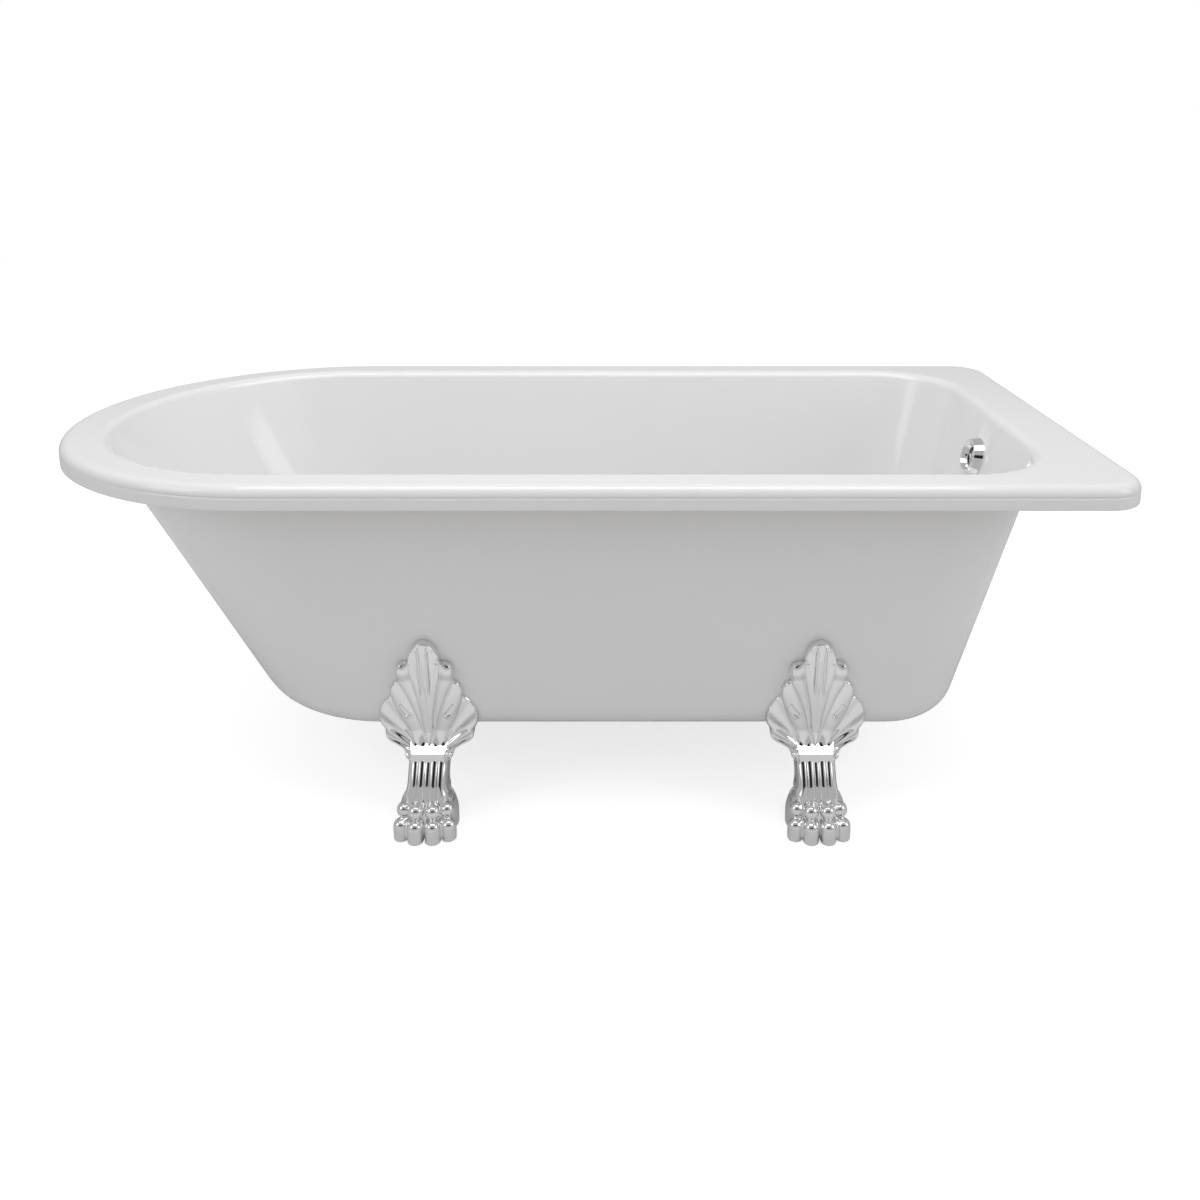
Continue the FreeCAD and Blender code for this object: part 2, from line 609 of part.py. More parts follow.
def rounded_pad(length, width, corner):
    """The pad's outline under the paw, from the floor up to the top of its recess."""
    half, deep, radius = value(length) / 2, value(width) / 2, value(corner)
    middle = value(BASE_SIDE) + value("paw_front - paw_heel") / 2
    corners = [(half, -deep, -90), (half, deep, 0), (-half, deep, 90), (-half, -deep, 180)]
    points = []
    for x, y, start in corners:
        points += arc(x - math.copysign(radius, x), middle + y - math.copysign(radius, y), radius,
                      start, start + 90, PAD_CORNER_STEPS)
    return slab([V(x, y, 0) for x, y in points], V(0, 0, value("pad_thickness")))


SPANNER_FLATS = 6
FEET = [("foot_head_near", "-foot_head_place", 180), ("foot_head_far", "-foot_head_place", 0),
        ("foot_tap_near", "foot_tap_place", 180), ("foot_tap_far", "foot_tap_place", 0)]


def at_foot(place, turn, shape):
    """A copy of a foot's piece, turned to face out of its side of the bath."""
    copy = shape.copy()
    copy.rotate(V(0, 0, 0), Z_AXIS, turn)
    copy.translate(V(value(place), 0, 0))
    return copy


def bolt_places():
    spread, out = value("bolt_spread"), value("%s - bolt_set" % BASE_SIDE)
    return [V(value(place) + side * spread, out if turn == 0 else -out, 0)
            for label, place, turn in FEET for side in (-1, 1)]


def group(label, shape, places):
    """Like pieces that share a node, each its own solid."""
    copies = []
    for place in places:
        copy = shape.copy()
        copy.translate(place)
        copies.append(copy)
    return finish(feature(label, Part.makeCompound(copies)), label)


def make_feet():
    solid, pad = foot_solid(), rounded_pad("pad_length", "pad_width", "pad_corner")
    for label, place, turn in FEET:
        foot = feature(label, solid)
        foot.Placement = FreeCAD.Placement(V(value(place), 0, 0), FreeCAD.Rotation(Z_AXIS, turn))
        finish(foot, label)
    pads = [at_foot(place, turn, pad) for label, place, turn in FEET]
    finish(feature("foot_pads", Part.makeCompound(pads)), "foot_pads")
    head_top = value("base_height - foot_plate - washer_thickness")
    flats = int(value("small_flats"))
    shank = slab(flat_ring(0, 0, head_top, value("bolt_radius"), flats), V(0, 0, value("bolt_length")))
    head = slab(flat_ring(0, 0, head_top, value("bolt_head"), SPANNER_FLATS),
                V(0, 0, -value("bolt_head_height")))
    group("foot_bolts", head.fuse(shank), bolt_places())
    washer = slab(flat_ring(0, 0, head_top, value("washer_radius"), int(value("pipe_flats"))),
                  V(0, 0, value("washer_thickness")))
    hole = slab(flat_ring(0, 0, 0, value("bolt_radius + bolt_fit"), flats), V(0, 0, value("bath_height")))
    group("foot_washers", washer.cut(hole), bolt_places())


# ---- bath pieces ----


def bolt_bores(label):
    """Holes for the foot bolts through the skin and into the board, as one tool."""
    top = "(base_height - foot_plate - washer_thickness + bolt_length)"
    bores = []
    for i, place in enumerate(bolt_places()):
        bore = prism("%s_%d" % (label, i + 1), ("0", "0", "0"), "bolt_radius + bolt_fit", top + " + bolt_fit",
                     "small_flats")
        bore.Placement.Base = place
        bores.append(bore)
    return bores


def overflow_bore(label):
    """The hole through the tap wall, square to it."""
    bore = prism(label, ("0", "0", "0"), "overflow_hole", "4 * %s" % WALL)
    axis = FreeCAD.Rotation(Y_AXIS, math.degrees(SLOPES["tap"]) - 90)
    start = V(value(OVERFLOW_X), 0, value(OVERFLOW_HEIGHT)) - axis.multVec(V(0, 0, 3 * value(WALL)))
    bore.Placement = FreeCAD.Placement(start, axis)
    return bore


def waste_bore(label):
    return prism(label, (WASTE_X, "0", "0"), "waste_hole", "2 * " + FLOOR)


def make_bath():
    openings = fuse("sheet_openings", [waste_bore("sheet_waste_bore"), overflow_bore("sheet_overflow_bore")])
    finish(cut("inner_sheet", feature("sheet_form", sheet_solid()), openings), "inner_shell")
    openings = fuse("skin_openings", [waste_bore("skin_waste_bore"), overflow_bore("skin_overflow_bore")]
                    + bolt_bores("skin_bolt_bore"))
    finish(cut("stiffening_skin", feature("skin_form", skin_solid()), openings), "outer_shell")


def make_boards():
    corner = ("board_head_set - %s" % BASE_TIP, "board_side_set - %s" % BASE_SIDE, BOARD_UNDER)
    blank = box("board_blank", corner,
                "%s + %s - board_head_set - board_tap_set" % (BASE_TIP, BASE_TAP),
                "2 * (%s - board_side_set)" % BASE_SIDE, "board_thickness")
    doc.recompute()
    rounded = doc.addObject("Part::Fillet", "board_rounded")
    rounded.Base = blank
    radius = value("board_corner")
    rounded.Edges = [(i + 1, radius, radius) for i, edge in enumerate(blank.Shape.Edges)
                     if edge.BoundBox.ZLength > edge.Length / 2]
    openings = fuse("board_openings", [waste_bore("board_waste_bore")] + bolt_bores("board_bolt_bore"))
    finish(cut("base_board", rounded, openings), "baseboard")

    batten_under = "(%s - batten_thickness)" % DECK_UNDER
    start = "(rim_head - rim_length / 2 + batten_gap)"
    end = "(rim_length / 2 - batten_set - deck_board_width - batten_gap)"
    for label, low in (("rim_batten_near", "batten_set - rim_width / 2"),
                       ("rim_batten_far", "rim_width / 2 - batten_set - batten_width")):
        finish(box(label, (start, low, batten_under), "%s - %s" % (end, start), "batten_width",
                   "batten_thickness"), label)
    finish(box("rim_batten_tap", ("rim_length / 2 - batten_set - deck_board_width", "-deck_board_length / 2",
                                  batten_under),
               "deck_board_width", "deck_board_length", "batten_thickness"), "rim_batten_tap")

    inset, centre = value("batten_set"), value("rim_head + batten_gap / 2 - rim_length / 2")
    sides = [[point for point in rim_outline(value(batten_under), far) if point.x < centre]
             for far in (inset, inset + value("batten_width"))]
    band = sides[0] + sides[1][::-1]
    batten = Part.Face(Part.makePolygon(band + band[:1])).extrude(V(0, 0, value("batten_thickness")))
    finish(feature("rim_batten_head", batten), "rim_batten_head")


# ---- waste and plug ----


def make_waste():
    axis = (WASTE_X, "0")
    low = "(%s - flange_reach)" % FLOOR
    tube = "(flange_reach + seal_thickness)"
    finish(turned("waste_flange", [
        ("flange_bore - guide_ledge", "0"), ("flange_tube", "0"), ("flange_tube", tube),
        ("flange_radius", tube), ("flange_radius", tube + " + flange_thickness / 2"),
        ("flange_radius - flange_thickness / 2", tube + " + flange_thickness"),
        ("flange_bore + flange_thickness / 2", tube + " + flange_thickness"),
        ("flange_bore", tube + " + flange_thickness / 2"),
        ("flange_bore", "%s - %s" % (GUIDE_UNDER, low)),
        ("flange_bore - guide_ledge", "%s - %s" % (GUIDE_UNDER, low))], axis + (low,)), "waste_flange")
    finish(turned("waste_seal", [
        ("flange_tube + washer_fit", "0"), ("flange_radius - washer_fit", "0"),
        ("flange_radius - washer_fit", "seal_thickness"), ("flange_tube + washer_fit", "seal_thickness")],
        axis + (FLOOR,)), "waste_seal")
    finish(turned("waste_gasket", [
        ("flange_tube + washer_fit", "0"), ("trap_flange", "0"), ("trap_flange", "gasket_thickness"),
        ("flange_tube + washer_fit", "gasket_thickness")], axis + (GASKET_UNDER,)), "waste_gasket")

    tail_low = "(base_height - cup_depth - tail_taper - tail_length)"
    cup_top = "(cup_depth + tail_taper - gasket_thickness)"
    cup = turned("waste_cup", [
        ("tail_radius - tail_step", "-tail_step"), ("tail_radius - tail_step", "0"),
        ("cup_radius", "tail_taper"),
        ("cup_radius", cup_top + " - 2 * trap_flange_thickness"),
        ("trap_flange", cup_top + " - trap_flange_thickness"), ("trap_flange", cup_top)],
        axis + ("base_height - cup_depth - tail_taper",), ends=True)
    tail = cylinder("waste_tail", axis + (tail_low,), "tail_radius", "tail_length")
    side = axis + ("base_height - inlet_drop",)
    inlet = prism("waste_inlet", side, "spigot_radius", "inlet_reach", "pipe_flats")
    inlet_bore = prism("waste_inlet_bore", side, "spigot_bore", "inlet_reach", "pipe_flats")
    for tool in (inlet, inlet_bore):
        tool.Placement.Rotation = FreeCAD.Rotation(Y_AXIS, 90)
    cup_bore = prism("waste_cup_bore", axis + (tail_low,), "tail_bore",
                     cup_top + " + tail_length - thread_depth")
    thread_bore = prism("waste_thread_bore", axis + ("%s - thread_depth" % GASKET_UNDER,),
                        "flange_tube + thread_fit", "thread_depth")
    outside = fuse("waste_outside", [fuse("waste_cup_and_tail", [cup, tail]), inlet])
    hollow = cut("waste_hollow", cut("waste_with_inlet", outside, inlet_bore), cup_bore)
    finish(cut("waste_trap", hollow, thread_bore), "waste_body")


# The cap's dome, as shares of its radius and of its rise.
CAP_DOME = [(0.95, 0.62), (0.62, 0.94), (0.25, 1)]


def make_plug():
    axis = (WASTE_X, "0")
    dome = [("plug_radius * %g" % share, "plug_rise * %g" % rise) for share, rise in CAP_DOME]
    cap = turned("plug_cap_blank", [("plug_radius", "0"), ("plug_radius", "plug_edge")] + dome,
                 axis + (CAP_UNDER,), ends=True)
    hole = prism("plug_cap_hole", axis + (CAP_UNDER,), "stem_radius + stem_fit", "stem_seat", "small_flats")
    finish(cut("plug_cap_bored", cap, hole), "plug_cap")
    finish(turned("plug_seal", [
        ("stem_radius + washer_fit", "0"), ("plug_seal_radius - plug_seal_thickness / 4", "0"),
        ("plug_seal_radius", "plug_seal_thickness / 4"), ("plug_seal_radius", "plug_seal_thickness"),
        ("stem_radius + washer_fit", "plug_seal_thickness")],
        axis + ("%s - plug_seal_thickness" % CAP_UNDER,)), "plug_seal")
    finish(turned("plug_stem", [
        ("stem_radius - plug_seal_thickness / 4", "0"), ("stem_radius", "plug_seal_thickness / 4"),
        ("stem_radius", "stem_length")],
        axis + ("%s + stem_seat - stem_length" % CAP_UNDER,), "small_flats", ends=True), "plug_stem")

    place = axis + (GUIDE_UNDER,)
    ring = turned("guide_ring", [
        ("guide_radius - guide_band", "0"), ("guide_radius", "0"), ("guide_radius", "guide_height"),
        ("guide_radius - guide_band", "guide_height")], place)
    hub = prism("guide_hub_blank", place, "guide_hub", "guide_hub_height")
    start, reach = "guide_band / 2 - guide_radius", "2 * guide_radius - guide_band"
    arms = [box("guide_arm_x", ("%s + %s" % (WASTE_X, start), "-guide_arm / 2", GUIDE_UNDER),
                reach, "guide_arm", "guide_height"),
            box("guide_arm_y", ("%s - guide_arm / 2" % WASTE_X, start, GUIDE_UNDER),
                "guide_arm", reach, "guide_height")]
    blank = fuse("guide_blank", [ring, hub] + arms)
    bore = prism("guide_bore", place, "stem_radius + stem_fit", "guide_hub_height", "small_flats")
    finish(cut("stem_guide", blank, bore), "waste_guide")


# ---- overflow, built square to the tap wall: +Z out of the wall into the bath, +X up the wall ----

WALL_SQUARE = "(%s * cos(atan(%s)))" % (WALL, TAP_SLOPE)


def on_wall(piece, depth="0", up="0"):
    """Sets a piece on the tap wall: depth along the overflow's axis, up along the wall."""
    turn = FreeCAD.Rotation(Y_AXIS, math.degrees(SLOPES["tap"]) - 90)
    offset = turn.multVec(V(value(up), 0, value(depth)))
    piece.Placement = FreeCAD.Placement(V(value(OVERFLOW_X), 0, value(OVERFLOW_HEIGHT)) + offset, turn)
    return piece


def make_overflow():
    tube = "bezel_reach"
    seat = "(bezel_reach + grid_place)"
    front = "(bezel_reach + bezel_depth)"
    finish(on_wall(turned("overflow_bezel", [
        ("bezel_bore", "0"), ("bezel_tube", "0"), ("bezel_tube", tube), ("bezel_radius", tube),
        ("bezel_radius", tube + " + bezel_band"), ("bezel_front", front), ("bezel_mouth", front),
        ("grid_radius + grid_fit", seat + " + grid_thickness"), ("grid_radius + grid_fit", seat),
        ("bezel_bore", seat)]), "-bezel_reach"), "overflow_bezel")

    ring = turned("grid_ring", [
        ("bezel_bore", "0"), ("grid_radius", "0"), ("grid_radius", "grid_thickness"),
        ("bezel_bore", "grid_thickness")])
    hub = prism("grid_hub_blank", ("0", "0", "0"), "grid_hub", "grid_thickness", "small_flats")
    reach = "(bezel_bore + grid_radius)"
    far, aside = "-%s / 2" % reach, "-grid_bar / 2"
    bars = [box("grid_bar_x", (far, aside, "0"), reach, "grid_bar", "grid_thickness"),
            box("grid_bar_y", (aside, far, "0"), "grid_bar", reach, "grid_thickness")]
    hole = prism("grid_hole", ("0", "0", "0"), "screw_radius + stem_fit", "grid_thickness", "small_flats")
    grid = cut("grid", fuse("grid_blank", [ring, hub] + bars), hole)
    finish(on_wall(grid, "grid_place"), "overflow_grid")

    finish(on_wall(turned("overflow_screw", [
        ("screw_radius", "0"), ("screw_radius", "screw_length"), ("screw_head", "screw_length"),
        ("screw_head", "screw_length + screw_head_height / 2"),
        ("screw_head_top", "screw_length + screw_head_height")], flats="small_flats", ends=True),
        "grid_place + grid_thickness - screw_length"), "overflow_screw")

    finish(on_wall(turned("overflow_gasket", [
        ("overflow_hole", "0"), ("elbow_flange", "0"), ("elbow_flange", "overflow_gasket_thickness"),
        ("overflow_hole", "overflow_gasket_thickness")]),
        "-%s - overflow_gasket_thickness" % WALL_SQUARE), "overflow_gasket")
    make_elbow()
    make_pipe()


def make_elbow():
    face = "(elbow_depth - %s - overflow_gasket_thickness)" % WALL_SQUARE
    cup = turned("elbow_cup", [
        ("elbow_radius", "0"), ("elbow_radius", face + " - elbow_flange_thickness"),
        ("elbow_flange", face + " - elbow_flange_thickness"), ("elbow_flange", face), ("elbow_bore", face),
        ("elbow_bore", "elbow_wall")], ends=True)
    axis_height = "elbow_depth - pipe_set"
    start = ("0", "0", axis_height)
    spigot = prism("elbow_spigot_blank", start, "spigot_radius", "elbow_spigot", "pipe_flats")
    spigot_bore = prism("elbow_spigot_bore", start, "spigot_bore", "elbow_spigot", "pipe_flats")
    for tool in (spigot, spigot_bore):
        tool.Placement.Rotation = FreeCAD.Rotation(Y_AXIS, -90)
    cup_space = prism("elbow_cup_space", ("0", "0", "elbow_wall"), "elbow_bore", face)
    boss = prism("elbow_boss", ("0", "0", "0"), "boss_radius", "boss_height", "small_flats")
    screw_end = "elbow_depth + grid_place + grid_thickness - screw_length"
    screw_hole = prism("elbow_screw_hole", ("0", "0", screw_end), "screw_radius + stem_fit", "elbow_depth",
                       "small_flats")
    hollow = cut("elbow_hollow", fuse("elbow_outside", [cup, spigot]),
                 fuse("elbow_inside", [spigot_bore, cup_space]))
    elbow = cut("elbow", fuse("elbow_with_boss", [hollow, boss]), screw_hole)
    finish(on_wall(elbow, "-elbow_depth"), "overflow_elbow")


def make_pipe():
    """The overflow pipe: down beside the tap wall, round one bend of mitred flats and along to
    the waste, with a coupling nut at each end."""
    turn = FreeCAD.Rotation(Y_AXIS, math.degrees(SLOPES["tap"]) - 90)
    origin = V(value(OVERFLOW_X), 0, value(OVERFLOW_HEIGHT))
    top = origin + turn.multVec(V(-value("elbow_spigot"), 0, -value("pipe_set")))
    down = turn.multVec(V(-1, 0, 0))
    height = value("base_height - inlet_drop")
    corner = top + down * ((height - top.z) / down.z)
    end = V(value(WASTE_X) + value("inlet_reach"), 0, height)
    bend = value("pipe_bend")
    turn_by = down.getAngle(-X_AXIS)
    trim = bend * math.tan(turn_by / 2)
    leave, meet = corner - down * trim, corner - X_AXIS * trim
    centre = corner + ((leave + meet) * 0.5 - corner).normalize() * (bend / math.cos(turn_by / 2))
    stations = [(top, down)]
    for i in range(PIPE_BEND_STEPS + 1):
        step = FreeCAD.Rotation(Y_AXIS, math.degrees(turn_by) * i / PIPE_BEND_STEPS)
        stations.append((centre + step.multVec(leave - centre), step.multVec(down)))
    stations.append((end, -X_AXIS))
    flats = int(value("pipe_flats"))

    def rings(radius):
        """The pipe's outline square to its run at each station, with a corner towards +Y."""
        found = []
        for place, way in stations:
            out = Y_AXIS.cross(way)
            found.append([place + Y_AXIS * (value(radius) * math.cos(2 * math.pi * k / flats))
                          + out * (value(radius) * math.sin(2 * math.pi * k / flats)) for k in range(flats)])
        return found

    outside, inside = rings("pipe_radius"), rings("spigot_bore")
    pipe = shell_between(outside + inside[::-1] + outside[:1], [])
    finish(feature("overflow_pipe", pipe), "overflow_pipe")

    nut = turned("nut_pattern", [
        ("spigot_radius + nut_fit", "0"), ("nut_radius", "0"), ("nut_radius", "nut_grip + nut_lap"),
        ("pipe_radius + nut_fit", "nut_grip + nut_lap"), ("pipe_radius + nut_fit", "nut_grip"),
        ("spigot_radius + nut_fit", "nut_grip")], flats="pipe_flats")
    nuts = []
    for seat, along in ((top, down), (end, X_AXIS)):
        copy = nut.Shape.copy()
        copy.Placement = FreeCAD.Placement(seat - along * value("nut_grip"), FreeCAD.Rotation(Z_AXIS, along))
        nuts.append(copy)
    finish(feature("overflow_nuts", Part.makeCompound(nuts)), "overflow_nuts")


make_bath()
make_boards()
make_feet()
make_waste()
make_plug()
make_overflow()
doc.recompute()

for item in doc.Objects:
    if "Invalid" in item.State or "Error" in item.State:
        raise RuntimeError("%s did not build" % item.Label)
os.makedirs("parts", exist_ok=True)
for piece in finished:
    if piece.Shape.isNull() or not piece.Shape.isValid():
        raise RuntimeError("%s has no sound shape" % piece.Label)
for piece in finished:
    piece.Shape.exportStep("parts/%s.step" % piece.Label)
    print("%-18s %10.1f cm3  %d solids" % (piece.Label, piece.Shape.Volume / 1000, len(piece.Shape.Solids)))
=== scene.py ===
import bpy
import math
import numpy as np
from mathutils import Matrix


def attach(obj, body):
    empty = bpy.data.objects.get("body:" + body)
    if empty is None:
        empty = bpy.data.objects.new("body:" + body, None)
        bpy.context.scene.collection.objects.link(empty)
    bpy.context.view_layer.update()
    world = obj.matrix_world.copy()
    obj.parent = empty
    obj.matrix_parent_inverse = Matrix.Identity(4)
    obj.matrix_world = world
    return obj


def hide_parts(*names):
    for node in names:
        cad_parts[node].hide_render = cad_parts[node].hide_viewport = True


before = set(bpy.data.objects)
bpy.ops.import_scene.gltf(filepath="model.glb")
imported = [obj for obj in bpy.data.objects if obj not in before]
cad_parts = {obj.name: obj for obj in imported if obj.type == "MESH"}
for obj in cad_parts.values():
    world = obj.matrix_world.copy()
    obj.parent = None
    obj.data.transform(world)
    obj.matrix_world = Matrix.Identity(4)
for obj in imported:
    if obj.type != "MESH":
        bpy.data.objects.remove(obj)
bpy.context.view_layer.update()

# Lengths are in millimetres until a mesh is made; make_piece turns them into metres.
MM = 0.001
# Stands in for a divisor of zero.
TINY = 1e-9

# ---- sizes of the bath, as in the construction model ----

RIM_HALF_LENGTH, RIM_HALF_WIDTH, RIM_TOP, RIM_LIP = 850.0, 375.0, 600.0, 564.8
RIM_HEAD, RIM_CORNER, RIM_ROUND = 417.5, 62.0, 14.5
ROLL, SHEET, WALL = 16.0, 4.0, 8.3
BODY_TIP, BODY_TAP, BODY_HALF = -785.0, 756.0, 318.0
BODY_HEAD, BODY_CORNER = 330.0, 145.0
BASE, BASE_HALF, BASE_HEAD, BASE_CORNER, BASE_BEND = 137.0, 244.7, 237.0, 120.0, 60.0
FLOOR, FLOOR_BEND = 160.0, 41.0
SKIN_TOP = 582.0
RAKES = {"tip": 260.0, "tap": 113.5, "side": 73.3}
SLOPES = {end: math.atan2(rake, RIM_TOP - BASE) for end, rake in RAKES.items()}
WASTE_X, WASTE_HOLE = 520.0, 27.0
CAP_UNDER, CAP_RADIUS, CAP_EDGE, CAP_RISE = 171.8, 30.9, 1.6, 4.38
OVERFLOW_HEIGHT, OVERFLOW_HALF = 519.0, 21.0
HEAD_TURN = math.radians(45)


# ---- meshes from grids ----


def make_piece(name, points, faces, material, smooth=True):
    """A mesh piece from points (n, 3) in millimetres and a list of face arrays; its faces are
    turned outward by the sign of the volume they enclose."""
    points = np.asarray(points, float) * MM
    volume = 0.0
    for group in faces:
        for k in range(1, group.shape[1] - 1):
            a, b, c = points[group[:, 0]], points[group[:, k]], points[group[:, k + 1]]
            volume += np.einsum("ij,ij->i", a, np.cross(b, c)).sum()
    if volume < 0:
        faces = [group[:, ::-1] for group in faces]
    mesh = bpy.data.meshes.new(name)
    loops = np.concatenate([group.ravel() for group in faces])
    sizes = np.concatenate([np.full(len(group), group.shape[1]) for group in faces])
    mesh.vertices.add(len(points))
    mesh.vertices.foreach_set("co", points.ravel())
    mesh.loops.add(len(loops))
    mesh.loops.foreach_set("vertex_index", loops.astype(np.int32))
    mesh.polygons.add(len(sizes))
    mesh.polygons.foreach_set("loop_start", (np.cumsum(sizes) - sizes).astype(np.int32))
    mesh.polygons.foreach_set("use_smooth", np.full(len(sizes), smooth))
    mesh.update(calc_edges=True)
    mesh.validate()
    mesh.materials.append(material)
    piece = bpy.data.objects.new(name, mesh)
    bpy.context.collection.objects.link(piece)
    return piece


def grid_faces(rows, columns, wrap_rows=True, wrap_columns=True):
    """Corner numbers of every cell of a grid, (cells, 4), with the cells' row and column."""
    row, column = np.meshgrid(np.arange(rows if wrap_rows else rows - 1),
                              np.arange(columns if wrap_columns else columns - 1), indexing="ij")
    row, column = row.ravel(), column.ravel()
    below, beside = (row + 1) % rows, (column + 1) % columns
    corners = np.stack((row * columns + column, row * columns + beside,
                        below * columns + beside, below * columns + column), axis=1)
    return corners, row, column


# ---- outlines of the bath ----

CORNER_COLUMNS, SIDE_COLUMNS, SHOULDER_COLUMNS, NOSE_COLUMNS = 26, 40, 22, 44
TAP_COLUMNS, HOLE_COLUMNS = 9, 8
HOLE_START = CORNER_COLUMNS + TAP_COLUMNS
FLOOR_ROWS, BEND_ROWS, WALL_ROWS, HOLE_ROWS, ROLL_ROWS, TOP_ROWS = 12, 15, 22, 6, 12, 5


def bow(x, y, radius, start, end, columns):
    """Points on an arc, from one angle in degrees up to the next, without its last point."""
    angle = np.radians(np.linspace(start, end, columns, endpoint=False))
    return np.stack((x + radius * np.cos(angle), y + radius * np.sin(angle)), axis=1)


def line(start, end, columns):
    """Evenly spaced points on a straight line, without its last point."""
    share = np.linspace(0, 1, columns, endpoint=False)[:, None]
    return np.array(start) * (1 - share) + np.array(end) * share


def outline(height, tip, tap, half, head, corner):
    """A closed outline seen from above: square tap end, straight sides, and a head of three
    tangent arcs, nose radius n and shoulder radius n + g, with g = (head - half) / (cos t + sin t - 1)
    and n = head - g cos t for a turn t of 45 degrees."""
    grow = (head - half) / (math.cos(HEAD_TURN) + math.sin(HEAD_TURN) - 1)
    nose = head - grow * math.cos(HEAD_TURN)
    shoulder = nose + grow
    ring = np.concatenate((
        bow(tap - corner, corner - half, corner, -90, 0, CORNER_COLUMNS),
        line((tap, corner - half), (tap, -OVERFLOW_HALF), TAP_COLUMNS),
        line((tap, -OVERFLOW_HALF), (tap, OVERFLOW_HALF), HOLE_COLUMNS),
        line((tap, OVERFLOW_HALF), (tap, half - corner), TAP_COLUMNS),
        bow(tap - corner, half - corner, corner, 0, 90, CORNER_COLUMNS),
        line((tap - corner, half), (tip + head, half), SIDE_COLUMNS),
        bow(tip + head, half - shoulder, shoulder, 90, 135, SHOULDER_COLUMNS),
        bow(tip + nose, 0, nose, 135, 225, NOSE_COLUMNS),
        bow(tip + head, shoulder - half, shoulder, 225, 270, SHOULDER_COLUMNS),
        line((tip + head, -half), (tap - corner, -half), SIDE_COLUMNS)))
    return np.column_stack((ring, np.full(len(ring), height)))


def rim(height, inset):
    """The rim's outline at a height, set in from its outer edge."""
    return outline(height, inset - RIM_HALF_LENGTH, RIM_HALF_LENGTH - inset, RIM_HALF_WIDTH - inset,
                   RIM_HEAD - inset, RIM_CORNER - inset)


def run_in(height, slope, top, roll, floor, bend):
    """How far a wall has come in at a height: on its line, (600 - z) tan s, on the roll at its top,
    or on the bend into the floor, each a circle tangent to the line."""
    if roll and top - height < roll * (1 - math.sin(slope)):
        start = (RIM_TOP - top) * math.tan(slope) - roll / math.tan(math.pi / 4 + slope / 2)
        return start + math.sqrt(max(0.0, roll ** 2 - (roll - top + height) ** 2))
    if height - floor < bend * (1 - math.sin(slope)):
        foot = (RIM_TOP - floor) * math.tan(slope) + bend * math.tan(math.pi / 4 - slope / 2)
        return foot - math.sqrt(max(0.0, bend ** 2 - (bend - height + floor) ** 2))
    return (RIM_TOP - height) * math.tan(slope)


def body(height, inset, top, roll, floor, bend):
    """The body's outline at a height, set in from the outer face."""
    travel = {end: run_in(height, slope, top, roll, floor, bend) for end, slope in SLOPES.items()}
    share = (RIM_TOP - height) / (RIM_TOP - BASE)
    tip = BODY_TIP + travel["tip"] + inset
    centre = BODY_TIP + BODY_HEAD + share * (BASE_HEAD + RAKES["tip"] - BODY_HEAD)
    corner = BODY_CORNER - share * (BODY_CORNER - BASE_CORNER) - inset - travel["tap"] \
        + (RIM_TOP - height) * math.tan(SLOPES["tap"])
    return outline(height, tip, BODY_TAP - inset - travel["tap"], BODY_HALF - inset - travel["side"],
                   centre - tip, corner)


def across(first, last, steps):
    """Rings that pass evenly from one ring to another, without the first."""
    return [first * (1 - share) + last * share for share in np.linspace(0, 1, steps + 1)[1:]]


def waste_ring(floor_ring):
    """The hole round the waste: each point on the line from its axis to the floor's outline."""
    way = floor_ring[:, :2] - np.array((WASTE_X, 0.0))
    way *= WASTE_HOLE / np.linalg.norm(way, axis=1, keepdims=True)
    return np.column_stack((way + np.array((WASTE_X, 0.0)), floor_ring[:, 2]))


def wall_rings(inset, top, roll, floor, bend):
    """Rings from the waste's hole over the floor and up the wall to its top, and the numbers
    of the two rings that hold the overflow's opening."""
    turn = np.linspace(0, math.pi / 2 - SLOPES["side"], BEND_ROWS)
    heights = list(floor + bend * (1 - np.cos(turn)))
    low, high = OVERFLOW_HEIGHT - OVERFLOW_HALF, OVERFLOW_HEIGHT + OVERFLOW_HALF
    heights += list(np.linspace(heights[-1], low, WALL_ROWS)[1:])
    start = len(heights) - 1
    heights += list(np.linspace(low, high, HOLE_ROWS)[1:])
    stop = len(heights) - 1
    if roll:
        turn = np.linspace(math.pi / 2 - SLOPES["side"], 0, ROLL_ROWS)
        heights += list(top - roll * (1 - np.cos(turn)))
    else:
        heights += list(np.linspace(high, top, TOP_ROWS)[1:])
    rings = [body(height, inset, top, roll, floor, bend) for height in heights]
    hole = waste_ring(rings[0])
    floor_rings = across(hole, rings[0], FLOOR_ROWS)[:-1]
    extra = len(floor_rings) + 1
    return [hole] + floor_rings + rings, start + extra, stop + extra


